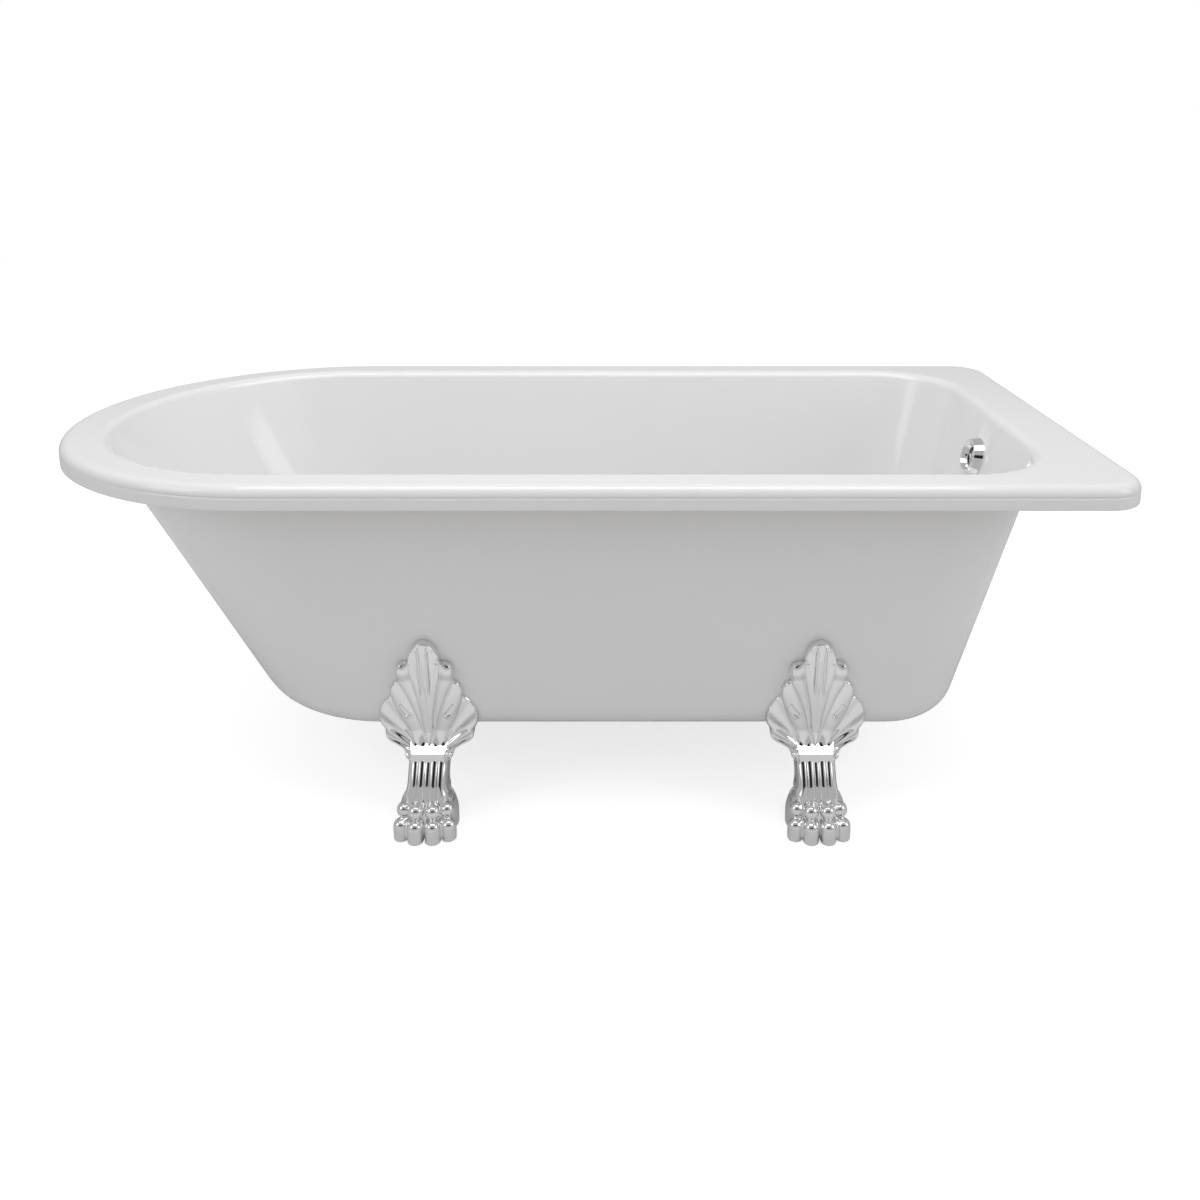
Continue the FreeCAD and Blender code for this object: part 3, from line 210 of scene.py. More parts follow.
def pierced(name, front, back, holes, material):
    """A thick sheet, its front rings then its back rings in reverse, closed round the waste's hole,
    with the overflow's opening cut through front and back and walled between them."""
    rings = front + back[::-1]
    rows, columns = len(rings), len(rings[0])
    cells, row, column = grid_faces(rows, columns)
    behind = [rows - 1 - holes[1][1], rows - 1 - holes[1][0]]
    side = (column >= HOLE_START) & (column < HOLE_START + HOLE_COLUMNS)
    open_front = side & (row >= holes[0][0]) & (row < holes[0][1])
    open_back = side & (row >= behind[0]) & (row < behind[1])
    steps = holes[0][1] - holes[0][0]
    over = np.arange(HOLE_COLUMNS + 1) + HOLE_START
    up = np.arange(steps + 1)
    near = np.concatenate((holes[0][0] * columns + over,
                           (holes[0][0] + up[1:]) * columns + over[-1],
                           holes[0][1] * columns + over[-2::-1],
                           (holes[0][1] - up[1:-1]) * columns + over[0]))
    far = np.concatenate((behind[1] * columns + over,
                          (behind[1] - up[1:]) * columns + over[-1],
                          behind[0] * columns + over[-2::-1],
                          (behind[0] + up[1:-1]) * columns + over[0]))
    walls = np.stack((near, far, np.roll(far, -1), np.roll(near, -1)), axis=1)
    kept = cells[~(open_front | open_back)]
    return make_piece(name, np.concatenate(rings), [np.concatenate((kept, walls))], material)


# The groove under the rim's quarter round, as height and depth, and where it fades in by the head.
GROOVE = ((585.2, 0.0), (584.9, 0.55), (584.5, 0.8), (584.1, 0.55), (583.8, 0.0))
GROOVE_START, GROOVE_FADE = -760.0, 240.0
LIP_ROUND = 2.0


def bath_sheet(material):
    """The formed sheet: floor, walls, rolled top, flat rim, quarter-round edge and skirt, and the
    same at four millimetres behind. A fine groove under the quarter round fades at the head."""
    front, low, high = wall_rings(WALL, RIM_TOP, ROLL, FLOOR, FLOOR_BEND)
    front += across(front[-1], rim(RIM_TOP, RIM_ROUND), 8)
    for turn in np.radians(np.linspace(0, 90, 14)[1:]):
        front.append(rim(RIM_TOP - RIM_ROUND * (1 - math.cos(turn)), RIM_ROUND * (1 - math.sin(turn))))
    for height, depth in GROOVE:
        ring = rim(height, 0)
        share = np.clip((ring[:, 0] - GROOVE_START) / GROOVE_FADE, 0, 1)[:, None]
        front.append(ring * (1 - share) + rim(height, depth) * share)
    front += [rim(height, 0) for height in (580.0, 575.0, 570.0, RIM_LIP + LIP_ROUND)]
    for turn in np.radians(np.linspace(0, 90, 5)[1:]):
        front.append(rim(RIM_LIP + LIP_ROUND * (1 - math.sin(turn)), LIP_ROUND * (1 - math.cos(turn))))
    back, back_low, back_high = wall_rings(WALL - SHEET, RIM_TOP - SHEET, ROLL - SHEET,
                                           FLOOR - SHEET, FLOOR_BEND + SHEET)
    back += across(back[-1], rim(RIM_TOP - SHEET, RIM_ROUND), 4)
    for turn in np.radians(np.linspace(0, 90, 6)[1:]):
        back.append(rim(RIM_TOP - SHEET - (RIM_ROUND - SHEET) * (1 - math.cos(turn)),
                        RIM_ROUND - (RIM_ROUND - SHEET) * math.sin(turn)))
    back += [rim(height, SHEET) for height in (578.0, RIM_LIP + LIP_ROUND)]
    for turn in np.radians(np.linspace(0, 90, 5)[1:-1]):
        back.append(rim(RIM_LIP + LIP_ROUND * (1 - math.sin(turn)),
                        SHEET - LIP_ROUND * (1 - math.cos(turn))))
    return pierced("bath_sheet", front, back, ((low, high), (back_low, back_high)), material)


def bath_skin(material):
    """The skin over the sheet's back, from the hole under the waste up to a rounded edge under the rim."""
    front, low, high = wall_rings(0.0, SKIN_TOP, 0, BASE, BASE_BEND)
    back, back_low, back_high = wall_rings(SHEET, SKIN_TOP, 0, BASE + SHEET, BASE_BEND - SHEET)
    return pierced("bath_skin", front, back, ((low, high), (back_low, back_high)), material)


# ---- feet, drawn with +y out of the bath ----

FEET = {"foot_head_near": (-210.0, -1), "foot_head_far": (-210.0, 1),
        "foot_tap_near": (406.0, -1), "foot_tap_far": (406.0, 1)}
LEAF_TIP, KNEE, ANKLE, PAW_TOP, SOLE = 316.5, 150.0, 100.0, 60.0, 0.5
PROUD, LEG_DEPTH, SEAT_GAP = 9.5, 38.0, 0.3
ANKLE_LEAN, PAW_LEAN = 30.0, 54.0


def seat(height):
    """The body's side at a height, where a foot's back lies."""
    return np.array([BODY_HALF + SEAT_GAP - run_in(z, SLOPES["side"], RIM_TOP, 0, BASE - SEAT_GAP,
                                                   BASE_BEND + SEAT_GAP) for z in height])


def leg_front(height):
    """Front of the leg: beside the wall down to the knee, then by two parabolas out to the paw."""
    wall = BODY_HALF - (RIM_TOP - height) * math.tan(SLOPES["side"]) + PROUD
    knee = BODY_HALF - (RIM_TOP - KNEE) * math.tan(SLOPES["side"]) + PROUD
    ankle, paw = BASE_HALF + ANKLE_LEAN, BASE_HALF + PAW_LEAN
    share = (KNEE - height) / (KNEE - ANKLE)
    upper = knee + (ankle - knee) * share ** 2
    share = (ANKLE - height) / (ANKLE - PAW_TOP)
    slope = 2 * (ankle - knee) * (ANKLE - PAW_TOP) / (KNEE - ANKLE)
    lower = ankle + slope * share + (paw - ankle - slope) * share ** 2
    return np.where(height >= KNEE, wall, np.where(height >= ANKLE, upper, lower))


def curve(points, steps=10):
    """A smooth line through points, for half outlines of the leaf as (x, drop): between b and c it
    is the cubic whose slope at each is half the step between that point's neighbours."""
    p = np.array([points[0]] + points + [points[-1]], float)
    t = np.linspace(0, 1, steps, endpoint=False)[:, None]
    spans = [0.5 * (2 * b + (c - a) * t + (2 * a - 5 * b + 4 * c - d) * t ** 2
                    + (3 * b - a - 3 * c + d) * t ** 3)
             for a, b, c, d in zip(p, p[1:], p[2:], p[3:])]
    return np.concatenate(spans + [p[-1:]])


CROWN = curve([(0, 0), (9, 3), (18, 12), (24, 26), (26, 41), (24.5, 62), (19.5, 88), (14.5, 114), (11, 136),
               (8.5, 164), (4.5, 182), (0, 194)])
LOBES = curve([(0, 39), (20, 39), (33, 39.5), (41.5, 43), (45.6, 54), (45.5, 66), (42, 80), (34, 98),
               (26, 118), (17.5, 145), (11, 172), (0, 200)])
PETALS = curve([(0, 72), (30, 73), (44, 75), (52, 80), (57, 92), (56.5, 106), (51, 126), (43, 148), (32, 172),
                (22, 192), (13, 208), (0, 213)])
WINGS = curve([(0, 103), (50, 103), (58, 104.5), (66, 111), (74, 123), (79, 138), (77.5, 155), (71.5, 167),
               (71, 174), (69, 182), (62, 188), (54, 191.5), (47, 195), (40, 200), (33, 212), (0, 213)])


def inside(half_outline, x, drop):
    """Signed distance, in millimetres, from each point to a leaf outline; positive inside it."""
    ring = np.concatenate((half_outline, half_outline[::-1] * (-1, 1)))
    a, b = ring, np.roll(ring, -1, axis=0)
    px, py = x[..., None], drop[..., None]
    dx, dy = b[:, 0] - a[:, 0], b[:, 1] - a[:, 1]
    along = (px - a[:, 0]) * dx + (py - a[:, 1]) * dy
    share = np.clip(along / np.maximum(dx * dx + dy * dy, TINY), 0, 1)
    away = np.sqrt((px - a[:, 0] - share * dx) ** 2 + (py - a[:, 1] - share * dy) ** 2).min(-1)
    crosses = ((a[:, 1] > py) != (b[:, 1] > py))
    at = a[:, 0] + (py - a[:, 1]) * dx / np.where(np.abs(dy) < TINY, TINY, dy)
    odd = (crosses & (px < at)).sum(-1) % 2 == 1
    return np.where(odd, away, -away)


def half_width(half_outline, drop):
    """Greatest half width of an outline at each drop below the tip."""
    x, y = half_outline[:, 0], half_outline[:, 1]
    a, b = y[:-1], y[1:]
    crosses = (np.minimum(a, b) <= drop[:, None]) & (np.maximum(a, b) >= drop[:, None])
    span = np.where(np.abs(b - a) < TINY, TINY, b - a)
    at = x[:-1] + (drop[:, None] - a) / span * (x[1:] - x[:-1])
    at = np.where(crosses, np.clip(at, np.minimum(x[:-1], x[1:]), np.maximum(x[:-1], x[1:])), 0)
    return at.max(1)


def bump(value, at, half):
    """A smooth hump of height 1 at a value, gone at half a width away."""
    return np.clip(1 - ((value - at) / half) ** 2, 0, None) ** 2


def fade(value, start, end):
    """0 at start, 1 at end, straight between them."""
    return np.clip((value - start) / (end - start), 0, 1)


LAYER_EDGE, NOWHERE = 3.0, -99.0


def lobe(own, inner, base, rise, reach):
    """A finger of the leaf: a quarter-round edge up to its base height, then a convex middle
    that sinks again towards the layer that overlaps it; own and inner are the distances inside
    its own outline and outside the next one."""
    edge = base * np.sqrt(1 - (1 - np.clip(own / LAYER_EDGE, 0, 1)) ** 2)
    from_edge, from_layer = np.clip(own, 0, None), np.clip(inner, 0, None)
    swell = rise * (1 - np.exp(-from_edge / reach)) * (1 - np.exp(-from_layer / reach))
    return np.where(own > 0, edge + swell, NOWHERE)


def to_segment(x, drop, start, end):
    """Distance from each point to a straight line between two points."""
    way = np.array(end) - np.array(start)
    share = np.clip(((x - start[0]) * way[0] + (drop - start[1]) * way[1]) / (way @ way), 0, 1)
    return np.hypot(x - start[0] - share * way[0], drop - start[1] - share * way[1])


# Base height, rise and reach of each layer of the leaf, as lobe takes them.
CROWN_LIFT, LOBES_LIFT = (12.0, 3.0, 7.0), (8.5, 5.0, 6.0)
PETALS_LIFT, WINGS_LIFT = (6.0, 5.5, 6.5), (3.6, 3.4, 6.0)
FAR_OFF = 40.0
RIB_AT, RIB_HALF, RIB_RISE = 6.4, 3.0, 2.4
KEEL_HALF, KEEL_RISE = 2.4, 1.2
FACET_OUTER, FACET_FROM, FACET_NARROWS = 21.0, 38.0, 0.22
CREASE_HALF, CREASE_DEPTH = 1.6, 1.6
CURL_AT, CURL_HALF, CURL_RISE = 55.0, 17.0, 2.6
DROP_START, DROP_END = (41, 121), (31, 136)
FAN_TURNS, FAN_RISE, FAN_FOOT, FAN_SIDE = 22, 1.5, 205, 8


def crown_relief(side, drop, own):
    """The crown: twin ribs and a low keel between them, slanted facets outside the ribs that
    narrow downwards, and a crease below. No layer overlaps it, so the next one is taken as far."""
    crown = lobe(own, FAR_OFF, *CROWN_LIFT)
    crown += RIB_RISE * bump(side, RIB_AT, RIB_HALF) * fade(drop, 8, 16) * (1 - fade(drop, 84, 96))
    crown += KEEL_RISE * bump(side, 0, KEEL_HALF) * fade(drop, 26, 34) * (1 - fade(drop, 80, 88))
    outer = FACET_OUTER - (drop - FACET_FROM) * FACET_NARROWS
    facet = fade(side, 8.0, 10.0) * (1 - fade(side - outer, -2.0, 0.0))
    facet *= fade(drop, 12, 18) * (1 - fade(drop, 82, 92))
    crown -= facet * (0.8 + 1.6 * fade(side, 8.0, FACET_OUTER))
    crease = bump(side, 0, CREASE_HALF) * fade(drop, 84, 92) * (1 - fade(drop, 150, 170))
    return crown - CREASE_DEPTH * crease


def leaf_relief(x, height):
    """Height of the leaf in front of the wall: crown, lobes that curl over at their tips, petals
    with a drop-shaped hollow, and wings whose ridges follow the cosine of the angle round a fan's
    foot. The highest layer shows."""
    drop, side = LEAF_TIP - height, np.abs(x)
    in_crown, in_lobes = inside(CROWN, x, drop), inside(LOBES, x, drop)
    in_petals, in_wings = inside(PETALS, x, drop), inside(WINGS, x, drop)
    crown = crown_relief(side, drop, in_crown)
    lobes = lobe(in_lobes, -in_crown, *LOBES_LIFT)
    lobes += CURL_RISE * bump(drop, CURL_AT, CURL_HALF) * fade(in_lobes, 0, 5)
    petals = lobe(in_petals, -in_lobes, *PETALS_LIFT)
    away = to_segment(side, drop, DROP_START, DROP_END)
    petals += 1.0 * bump(away, 5.2, 2.0) - 3.2 * (1 - fade(away, 2.6, 4.6))
    turn = np.arctan2(FAN_FOOT - drop, np.maximum(side - FAN_SIDE, 1))
    wings = lobe(in_wings, -in_petals, *WINGS_LIFT)
    wings += FAN_RISE * np.cos(turn * FAN_TURNS) * fade(in_wings, 0, 6) * fade(-in_petals, 0, 6)
    return np.maximum(np.maximum(crown, lobes), np.maximum(petals, wings))


REEDS = (-31.4, -15.5, -4.2, 4.2, 15.5, 31.4)
REED_RISE = (5.5, 4.0, 2.6, 4.0, 5.5)


def reeds(place):
    """The leg's rounded reeds: over each span h sqrt(1 - 0.94 u^2), u from -1 to 1 across it."""
    place = np.clip(place, REEDS[0] + 0.01, REEDS[-1] - 0.01)
    number = np.searchsorted(REEDS, place) - 1
    edges, rise = np.array(REEDS), np.array(REED_RISE)
    middle, half = (edges[number] + edges[number + 1]) / 2, (edges[number + 1] - edges[number]) / 2
    return rise[number] * np.sqrt(1 - 0.94 * ((place - middle) / half) ** 2)


def leg_width(height):
    """Half width of the leg: a little more towards the knee, and spreading by a parabola into the paw."""
    return REEDS[-1] + 3.0 * fade(height, ANKLE, KNEE - 20) + 3.0 * fade(78 - height, 0, 16) ** 2


LEG_SET, LEG_FALL, LEG_TUCK = 3.5, 9.0, 9.0


def foot_front(x, height):
    """The casting's front: the leaf over the wall, and below it the reeded leg, whose sides fall
    back by the fourth power of the share of its width and whose top tucks in behind the leaf."""
    leaf = leg_front(height) - PROUD + leaf_relief(x, height)
    width = leg_width(height)
    share = np.clip(np.abs(x) / width, 0, 1)
    leg = leg_front(height) - LEG_SET - LEG_FALL * share ** 4 + reeds(x * REEDS[-1] / width)
    leg -= LEG_TUCK * fade(height, KNEE - 25, KNEE + 12)
    leg = np.where((height < KNEE + 12) & (np.abs(x) < width), leg, NOWHERE)
    return np.maximum(leaf, leg)


BLEND_OUT, BLEND_FROM, BLEND_RUN = 6.0, 206, 16


def foot_half_width(height):
    """Half width of the casting's outline at each height: leaf, then leg, which is wider by a
    parabola where it leaves the leaf."""
    drop = LEAF_TIP - height
    leaf = np.max([half_width(shape, drop) for shape in (CROWN, LOBES, PETALS, WINGS)], axis=0)
    blend = BLEND_OUT * np.clip(1 - (drop - BLEND_FROM) / BLEND_RUN, 0, 1) ** 2 * (drop > BLEND_FROM)
    leg = np.where(height < KNEE, leg_width(height) + blend, 0)
    return np.maximum(np.maximum(leaf, leg), 0.6)


def foot_back(height):
    """Back of the casting: on the body's side, then behind the leg."""
    behind = leg_front(height) - LEG_DEPTH
    return np.where(height > BASE, np.maximum(seat(height), behind), behind)


def ring_grid(points):
    """Faces over a stack of closed rings, with a fan of faces over its first and last ring."""
    rows, columns = points.shape[:2]
    cells, _, _ = grid_faces(rows, columns, wrap_rows=False)
    flat = points.reshape(-1, 3)
    ring = np.arange(columns)
    beside = np.roll(ring, -1)
    last = (rows - 1) * columns
    lids = np.concatenate((np.stack((np.full(columns, len(flat)), beside, ring), 1),
                           np.stack((np.full(columns, len(flat) + 1), last + ring, last + beside), 1)))
    return np.concatenate((flat, [points[0].mean(0), points[-1].mean(0)])), [cells, lids]


FRONT_COLUMNS, BACK_COLUMNS = 190, 10


def casting():
    """Leaf and leg as rings down the foot: across the front, closer together towards the sides
    as a sine is, then back behind."""
    height = np.concatenate((np.linspace(LEAF_TIP - 0.05, 206, 150), np.linspace(205.4, 98, 150),
                             np.linspace(97, 40, 40)))
    width = foot_half_width(height)
    x = np.sin(np.linspace(-math.pi / 2, math.pi / 2, FRONT_COLUMNS))[None, :] * width[:, None]
    back_x = np.linspace(0.98, -0.98, BACK_COLUMNS)[None, :] * width[:, None]
    front_z = np.broadcast_to(height[:, None], x.shape)
    back_z = np.broadcast_to(height[:, None], back_x.shape)
    back = np.broadcast_to(foot_back(height)[:, None], back_x.shape)
    front = np.maximum(foot_front(x * 0.999, front_z), back[:, :1] + 1.0)
    return np.stack((np.concatenate((x, back_x), 1), np.concatenate((front, back), 1),
                     np.concatenate((front_z, back_z), 1)), axis=2)


# Balls of the paw: distance to the side, distance past the base line, height and radius.
KNUCKLES = ((13.2, 63.5, 45.4, 12.6), (33.6, 53.0, 42.5, 11.6))
TOES = ((13.6, 71.8, 23.4, 12.4), (37.2, 63.6, 21.8, 11.9))
PAW_MIDDLE = 28.0


def reach(angle, x, y, radius):
    """How far a ray from the paw's middle goes before it leaves a circle."""
    way = x * np.sin(angle) + y * np.cos(angle)
    rest = radius ** 2 - (x ** 2 + y ** 2 - way ** 2)
    return np.where(rest > 0, way + np.sqrt(np.clip(rest, 0, None)), 0)


# The oval body: its half sizes, how far they draw in upwards and over which heights, and the
# heights over which it closes; the round at the sole and how far that sets the sole in.
PAW_HALF, PAW_DRAWN, DRAW_START, DRAW_RUN = (47.0, 35.0), (14.0, 9.0), 22, 40
CLOSE_START, CLOSE_RUN = 50, 12
SOLE_ROUND, SOLE_SET = 3.0, 1.6


def paw():
    """The paw as rings from its top down: at each height and angle, the farthest of an oval
    body, four round knuckles, and four toes that are balls above and upright below."""
    height = np.concatenate((np.linspace(61.5, 30, 84), np.linspace(29.6, 4, 50),
                             np.linspace(3.4, SOLE, 8)))[:, None]
    angle = np.radians(np.linspace(-180, 180, 330, endpoint=False))[None, :]
    rise = np.clip((height - DRAW_START) / DRAW_RUN, 0, 1)
    half_x, half_y = (half - drawn * rise ** 2 for half, drawn in zip(PAW_HALF, PAW_DRAWN))
    top = np.sqrt(np.clip(1 - np.clip((height - CLOSE_START) / CLOSE_RUN, 0, 1) ** 2, 0.02, 1))
    far = top / np.sqrt((np.sin(angle) / half_x) ** 2 + (np.cos(angle) / half_y) ** 2)
    for balls, upright in ((KNUCKLES, False), (TOES, True)):
        for x, y, z, radius in balls:
            above = np.clip(height - z, 0, None) if upright else height - z
            across_ball = np.sqrt(np.clip(radius ** 2 - above ** 2, 0, None))
            for side in (-1, 1):
                far = np.maximum(far, reach(angle, side * x, y - PAW_MIDDLE, across_ball))
    low = 1 - np.clip((height - SOLE) / SOLE_ROUND, 0, 1)
    far = far - SOLE_SET * (1 - np.sqrt(np.clip(1 - low ** 2, 0, 1)))
    return np.stack((far * np.sin(angle), BASE_HALF + PAW_MIDDLE + far * np.cos(angle),
                     np.broadcast_to(height, far.shape)), axis=2)


def mount_plate():
    """The plate that bolts under the base and the rib that joins it to the leg, as one
    stack of rings from the plate's inner end out to the leg: a slab that narrows to a rib."""
    reach_in = np.array((-95.0, -94.2, -62.0, -58.0, -20.0, 10.0, 26.0))
    half = np.array((30.5, 32.0, 32.0, 32.0, 32.0, 30.0, 26.0))
    low = np.array((129.8, 129.0, 129.0, 129.0, 121.0, 104.0, 92.0))
    high = np.array((136.2, 136.7, 136.7, 136.7, 136.7, 130.0, 118.0))
    corner = np.radians(np.arange(0, 360, 90) + 45)
    section = [np.stack((np.sign(np.cos(corner)) * h, np.full(4, BASE_HALF + y),
                         np.where(np.sin(corner) > 0, t, b)), axis=1)
               for y, h, b, t in zip(reach_in, half, low, high)]
    return np.array(section)


def foot(name, material):
    """A foot's three closed skins in its own place: casting, paw and mounting plate."""
    place, side = FEET[name]
    for part_name, rings in (("cast", casting()), ("paw", paw()), ("plate", mount_plate())):
        flat, faces = ring_grid(rings)
        flat = flat * (side, side, 1) + (place, 0, 0)
        piece = make_piece("%s_%s" % (name, part_name), flat, faces, material, part_name != "plate")
        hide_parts(name)
        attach(piece, "bath")


# ---- turned fittings ----

TURN_COLUMNS = 96


def crisp(corners, edge=0.35):
    """A profile whose corners are eased: each becomes three points, within edge of the corner."""
    points = np.array(corners, float)
    before, after = np.roll(points, 1, axis=0) - points, np.roll(points, -1, axis=0) - points
    size_before = np.linalg.norm(before, axis=1, keepdims=True)
    size_after = np.linalg.norm(after, axis=1, keepdims=True)
    back = points + before / size_before * np.minimum(edge, size_before / 3)
    on = points + after / size_after * np.minimum(edge, size_after / 3)
    return np.stack((back, (back + on + points * 2) / 4, on), axis=1).reshape(-1, 2)


def turned(name, profile, place, slope=None):
    """A turned piece: radius and height of a profile, swept round the upright axis, or round the
    overflow's axis where the tap wall's slope is given. A closed profile makes a ring; one that
    starts and ends at radius 0 makes a solid piece with a pole at each end."""
    profile = np.asarray(profile, float)
    around = np.linspace(0, 2 * math.pi, TURN_COLUMNS, endpoint=False)
    solid = profile[0, 0] == 0
    ring = profile[1:-1] if solid else profile
    points = np.stack((ring[:, :1] * np.cos(around), ring[:, :1] * np.sin(around),
                       np.repeat(ring[:, 1:], TURN_COLUMNS, axis=1)), axis=2)
    if solid:
        flat, faces = ring_grid(points)
    else:
        flat, faces = points.reshape(-1, 3), [grid_faces(len(ring), TURN_COLUMNS)[0]]
    if slope is not None:
        up, out = (math.sin(slope), 0, math.cos(slope)), (-math.cos(slope), 0, math.sin(slope))
        flat = flat @ np.array((up, (0, 1, 0), out))
    return make_piece(name, flat + place, faces, CHROME)


def pole_to_pole(*corners):
    """A profile from the axis out, round through corners, and back to the axis."""
    eased = crisp(((0, corners[0][1]),) + corners + ((0, corners[-1][1]),))
    return np.concatenate((((0, corners[0][1]),), eased[3:-3], ((0, corners[-1][1]),)))


# ---- materials ----


def material_nodes(name):
    """A new material, its nodes and links, and its shader."""
    material = bpy.data.materials.new(name)
    material.use_nodes = True
    nodes, links = material.node_tree.nodes, material.node_tree.links
    return material, nodes, links, nodes["Principled BSDF"]


def variation_group():
    """Colour and gloss that drift between two values with a fine noise in the object's own space."""
    group = bpy.data.node_groups.new("fine_variation", "ShaderNodeTree")
    for name, kind in (("Low", "NodeSocketColor"), ("High", "NodeSocketColor"), ("Gloss", "NodeSocketFloat"),
                       ("Matt", "NodeSocketFloat"), ("Scale", "NodeSocketFloat")):
        group.interface.new_socket(name=name, in_out="INPUT", socket_type=kind)
    for name, kind in (("Color", "NodeSocketColor"), ("Roughness", "NodeSocketFloat"),
                       ("Height", "NodeSocketFloat")):
        group.interface.new_socket(name=name, in_out="OUTPUT", socket_type=kind)
    nodes, links = group.nodes, group.links
    given, result = nodes.new("NodeGroupInput"), nodes.new("NodeGroupOutput")
    place, noise = nodes.new("ShaderNodeTexCoord"), nodes.new("ShaderNodeTexNoise")
    noise.inputs["Detail"].default_value = 4.0
    links.new(place.outputs["Object"], noise.inputs["Vector"])
    links.new(given.outputs["Scale"], noise.inputs["Scale"])
    tint, gloss = nodes.new("ShaderNodeMix"), nodes.new("ShaderNodeMapRange")
    tint.data_type = "RGBA"
    links.new(given.outputs["Low"], tint.inputs["A"])
    links.new(given.outputs["High"], tint.inputs["B"])
    links.new(noise.outputs["Fac"], tint.inputs["Factor"])
    links.new(given.outputs["Gloss"], gloss.inputs["To Min"])
    links.new(given.outputs["Matt"], gloss.inputs["To Max"])
    links.new(noise.outputs["Fac"], gloss.inputs["Value"])
    links.new(tint.outputs["Result"], result.inputs["Color"])
    links.new(gloss.outputs["Result"], result.inputs["Roughness"])
    links.new(noise.outputs["Fac"], result.inputs["Height"])
    return group


FINE_VARIATION = variation_group()


def varied(name, low, high, rough_low, rough_high, scale, metallic=0.0, bump_height=0.0):
    """A finish whose colour and gloss vary a little, and its surface too where a height is given."""
    material, nodes, links, shader = material_nodes(name)
    drift = nodes.new("ShaderNodeGroup")
    drift.node_tree = FINE_VARIATION
    drift.inputs["Low"].default_value = (*low, 1)
    drift.inputs["High"].default_value = (*high, 1)
    drift.inputs["Gloss"].default_value = rough_low
    drift.inputs["Matt"].default_value = rough_high
    drift.inputs["Scale"].default_value = scale
    links.new(drift.outputs["Color"], shader.inputs["Base Color"])
    links.new(drift.outputs["Roughness"], shader.inputs["Roughness"])
    shader.inputs["Metallic"].default_value = metallic
    if bump_height:
        relief = nodes.new("ShaderNodeBump")
        relief.inputs["Strength"].default_value = 0.25
        relief.inputs["Distance"].default_value = bump_height
        links.new(drift.outputs["Height"], relief.inputs["Height"])
        links.new(relief.outputs["Normal"], shader.inputs["Normal"])
    return material


WHITE = varied("gloss_white", (0.79, 0.79, 0.79), (0.81, 0.81, 0.81), 0.09, 0.13, 6.0)
CHROME = varied("chrome", (0.80, 0.80, 0.81), (0.86, 0.86, 0.87), 0.03, 0.06, 30.0, metallic=1.0)
BOARD = varied("board", (0.36, 0.24, 0.13), (0.52, 0.38, 0.22), 0.75, 0.9, 60.0, bump_height=0.0006)
RUBBER = varied("rubber", (0.03, 0.03, 0.03), (0.06, 0.06, 0.06), 0.55, 0.7, 80.0, bump_height=0.0002)
STEEL = varied("zinc_steel", (0.50, 0.51, 0.52), (0.62, 0.62, 0.62), 0.28, 0.42, 120.0, metallic=1.0)
TRAP = varied("trap_plastic", (0.66, 0.66, 0.65), (0.74, 0.74, 0.73), 0.35, 0.5, 90.0, bump_height=0.0002)
BRASS = varied("plated_brass", (0.50, 0.50, 0.51), (0.58, 0.58, 0.58), 0.08, 0.14, 60.0, metallic=1.0)

FINISHES = {
    "baseboard": BOARD, "rim_batten_near": BOARD, "rim_batten_far": BOARD, "rim_batten_tap": BOARD,
    "rim_batten_head": BOARD, "foot_pads": RUBBER, "foot_bolts": STEEL, "foot_washers": STEEL,
    "waste_flange": CHROME, "waste_seal": RUBBER, "waste_gasket": RUBBER, "waste_body": TRAP,
    "waste_guide": BRASS, "plug_cap": CHROME, "plug_seal": RUBBER, "plug_stem": BRASS,
    "overflow_bezel": CHROME, "overflow_grid": CHROME, "overflow_screw": CHROME,
    "overflow_gasket": RUBBER, "overflow_elbow": TRAP, "overflow_pipe": TRAP, "overflow_nuts": TRAP,
}
for node, finish in FINISHES.items():
    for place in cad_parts[node].material_slots:
        place.material = finish

# ---- pieces ----

sheet_piece = bath_sheet(WHITE)
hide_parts("inner_shell")
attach(sheet_piece, "bath")
skin_piece = bath_skin(WHITE)
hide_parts("outer_shell")
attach(skin_piece, "bath")
for foot_name in FEET:
    foot(foot_name, CHROME)

overflow_place = (BODY_TAP - WALL - (RIM_TOP - OVERFLOW_HEIGHT) * math.tan(SLOPES["tap"]), 0, OVERFLOW_HEIGHT)
bezel = turned("overflow_bezel_turned", crisp((
    (17, -16), (19.5, -16), (19.5, 0.02), (34.9, 0.02), (34.9, 2.6), (29, 17), (25.5, 17), (20.4, 8),
    (20.4, 5), (17, 5))), overflow_place, SLOPES["tap"])
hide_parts("overflow_bezel")
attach(bezel, "bath")
flange = turned("waste_flange_turned", crisp((
    (19.5, -38), (24.6, -38), (24.6, 1), (34.9, 1), (34.9, 2.2), (33.6, 3.5), (22.8, 3.5), (21.5, 2.2),
    (21.5, -33), (19.5, -33))), (WASTE_X, 0, FLOOR))
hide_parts("waste_flange")
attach(flange, "bath")
cap_turns = np.radians(np.linspace(4, 86, 16))
dome = [(CAP_RADIUS * math.cos(turn), CAP_EDGE + CAP_RISE * math.sin(turn)) for turn in cap_turns]
cap = turned("plug_cap_turned", pole_to_pole((30.6, 0), (CAP_RADIUS, 0.4), *dome), (WASTE_X, 0, CAP_UNDER))
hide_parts("plug_cap")
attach(cap, "plug")

# ---- floor, light and camera ----

ROOM_LIGHT, FLOOR_GLOW = 0.48, 0.62


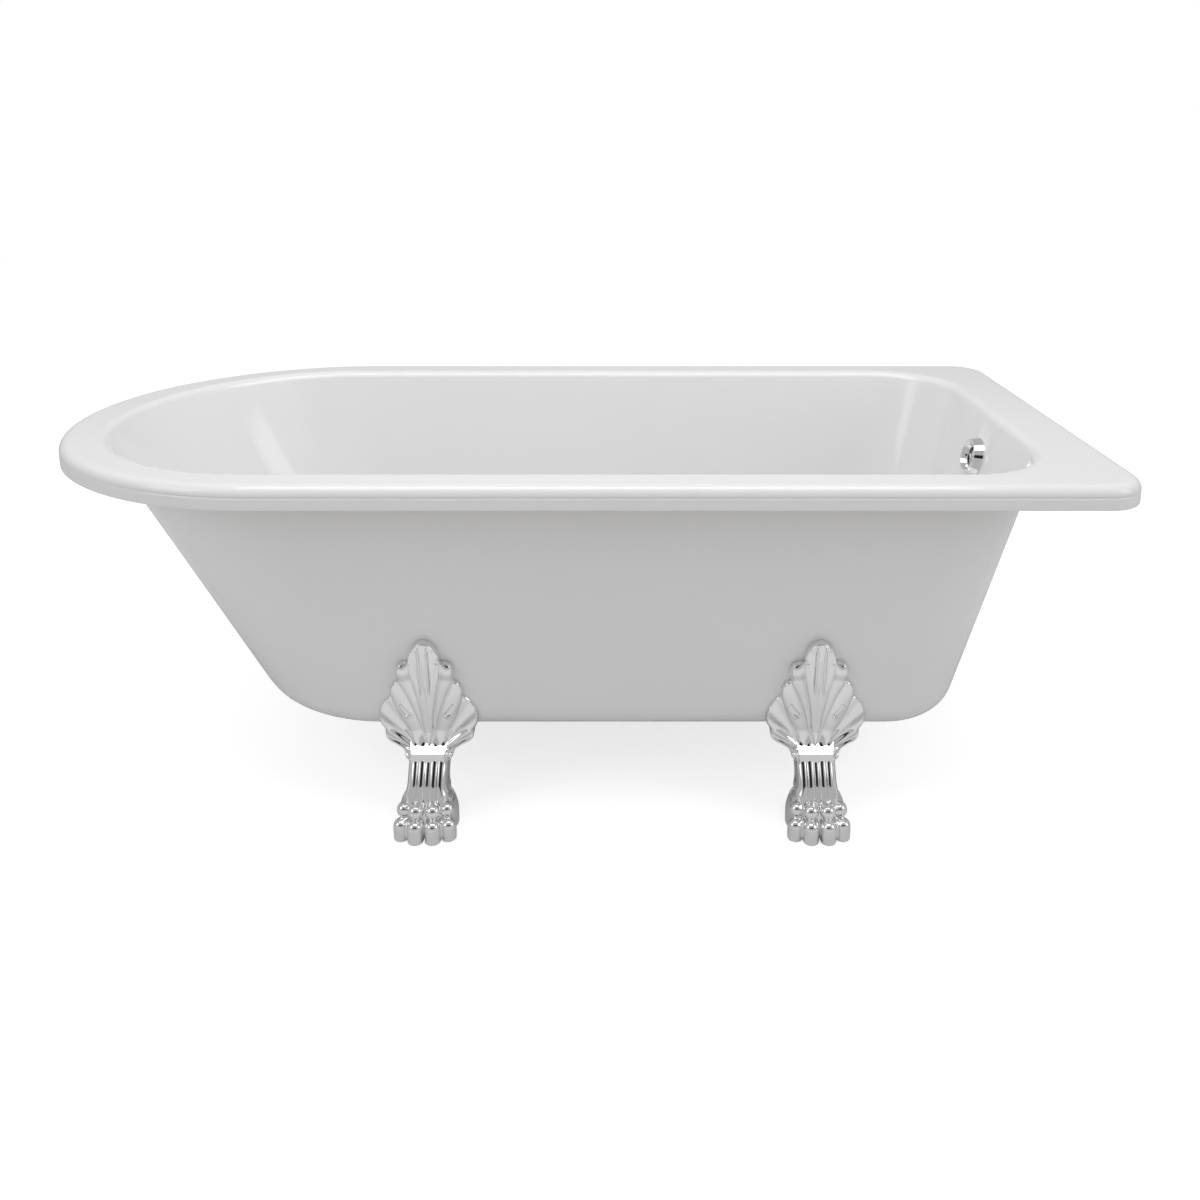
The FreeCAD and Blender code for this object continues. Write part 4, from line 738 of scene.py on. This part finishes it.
def stage_sheet(name, size, place, material):
    """A plain flat sheet for the stage, size in metres, facing up."""
    half_x, half_y = size[0] / 2, size[1] / 2
    corners = [(-half_x, -half_y, 0), (half_x, -half_y, 0), (half_x, half_y, 0), (-half_x, half_y, 0)]
    mesh = bpy.data.meshes.new(name)
    mesh.from_pydata(corners, [], [(0, 1, 2, 3)])
    mesh.materials.append(material)
    sheet = bpy.data.objects.new(name, mesh)
    sheet.location = place
    bpy.context.collection.objects.link(sheet)
    return sheet


def floor_material():
    """A pale floor that shows the bath's shadow and is otherwise as white as the background."""
    material, nodes, links, shader = material_nodes("studio_floor")
    shader.inputs["Base Color"].default_value = (0.8, 0.8, 0.8, 1)
    shader.inputs["Roughness"].default_value = 0.9
    glow = nodes.new("ShaderNodeEmission")
    glow.inputs["Color"].default_value = (1, 1, 1, 1)
    path = nodes.new("ShaderNodeLightPath")
    strength = nodes.new("ShaderNodeMath")
    strength.operation = "MULTIPLY"
    strength.inputs[1].default_value = FLOOR_GLOW
    links.new(path.outputs["Is Camera Ray"], strength.inputs[0])
    links.new(strength.outputs[0], glow.inputs["Strength"])
    both = nodes.new("ShaderNodeAddShader")
    links.new(shader.outputs[0], both.inputs[0])
    links.new(glow.outputs[0], both.inputs[1])
    links.new(both.outputs[0], nodes["Material Output"].inputs["Surface"])
    return material


def studio_world():
    """An even pale room, seen as plain white behind the object."""
    world = bpy.data.worlds.new("studio")
    world.use_nodes = True
    bpy.context.scene.world = world
    nodes, links = world.node_tree.nodes, world.node_tree.links
    room = nodes["Background"]
    room.inputs["Color"].default_value = (1, 1, 1, 1)
    room.inputs["Strength"].default_value = ROOM_LIGHT
    behind = nodes.new("ShaderNodeBackground")
    behind.inputs["Color"].default_value = (1, 1, 1, 1)
    behind.inputs["Strength"].default_value = 1.0
    path = nodes.new("ShaderNodeLightPath")
    pick = nodes.new("ShaderNodeMixShader")
    links.new(path.outputs["Is Camera Ray"], pick.inputs["Fac"])
    links.new(room.outputs[0], pick.inputs[1])
    links.new(behind.outputs[0], pick.inputs[2])
    links.new(pick.outputs[0], nodes["World Output"].inputs["Surface"])


def lamp(name, place, target, size, power):
    """A soft rectangular lamp that faces a target."""
    light = bpy.data.lights.new(name, "AREA")
    light.shape = "RECTANGLE"
    light.size, light.size_y = size
    light.energy = power
    piece = bpy.data.objects.new(name, light)
    bpy.context.collection.objects.link(piece)
    piece.location = place
    way = np.array(target, float) - np.array(place, float)
    flat = math.hypot(way[0], way[1])
    piece.rotation_euler = (math.pi / 2 + math.atan2(way[2], flat), 0, math.atan2(-way[0], way[1]))


def plain(name, shade):
    """A plain matt finish for what stands round the object."""
    material, _, _, shader = material_nodes(name)
    shader.inputs["Base Color"].default_value = (shade, shade, shade, 1)
    shader.inputs["Roughness"].default_value = 0.9
    return material


dark_wall = stage_sheet("dark_wall", (3.0, 1.7), (0.1, -3.1, 1.95), plain("dark_cloth", 0.01))
dark_wall.rotation_euler = (math.radians(-70), 0, 0)
dark_wall.visible_camera = False
dark_wall.visible_diffuse = False
dark_wall.visible_shadow = False
stage_sheet("studio_ground", (14.0, 14.0), (0, 0, 0), floor_material())
studio_world()
lamp("top_softbox", (0.0, -0.45, 2.6), (0, 0, 0.5), (2.6, 1.2), 32)
lamp("left_softbox", (-2.4, -1.6, 1.7), (-0.2, 0, 0.4), (1.0, 1.6), 8)
lamp("right_softbox", (2.6, -1.2, 1.5), (0.3, 0, 0.4), (0.9, 1.5), 9)

view = bpy.data.cameras.new("view")
view.lens, view.sensor_width = 29.58, 36.0
view.shift_x, view.shift_y = -0.0257, -0.2417
camera = bpy.data.objects.new("view", view)
camera.location = (0.1119, -1.6868, 1.0829)
camera.rotation_euler = (math.radians(80), 0, 0)
bpy.context.collection.objects.link(camera)
bpy.context.scene.camera = camera
bpy.context.scene.view_settings.view_transform = "Standard"
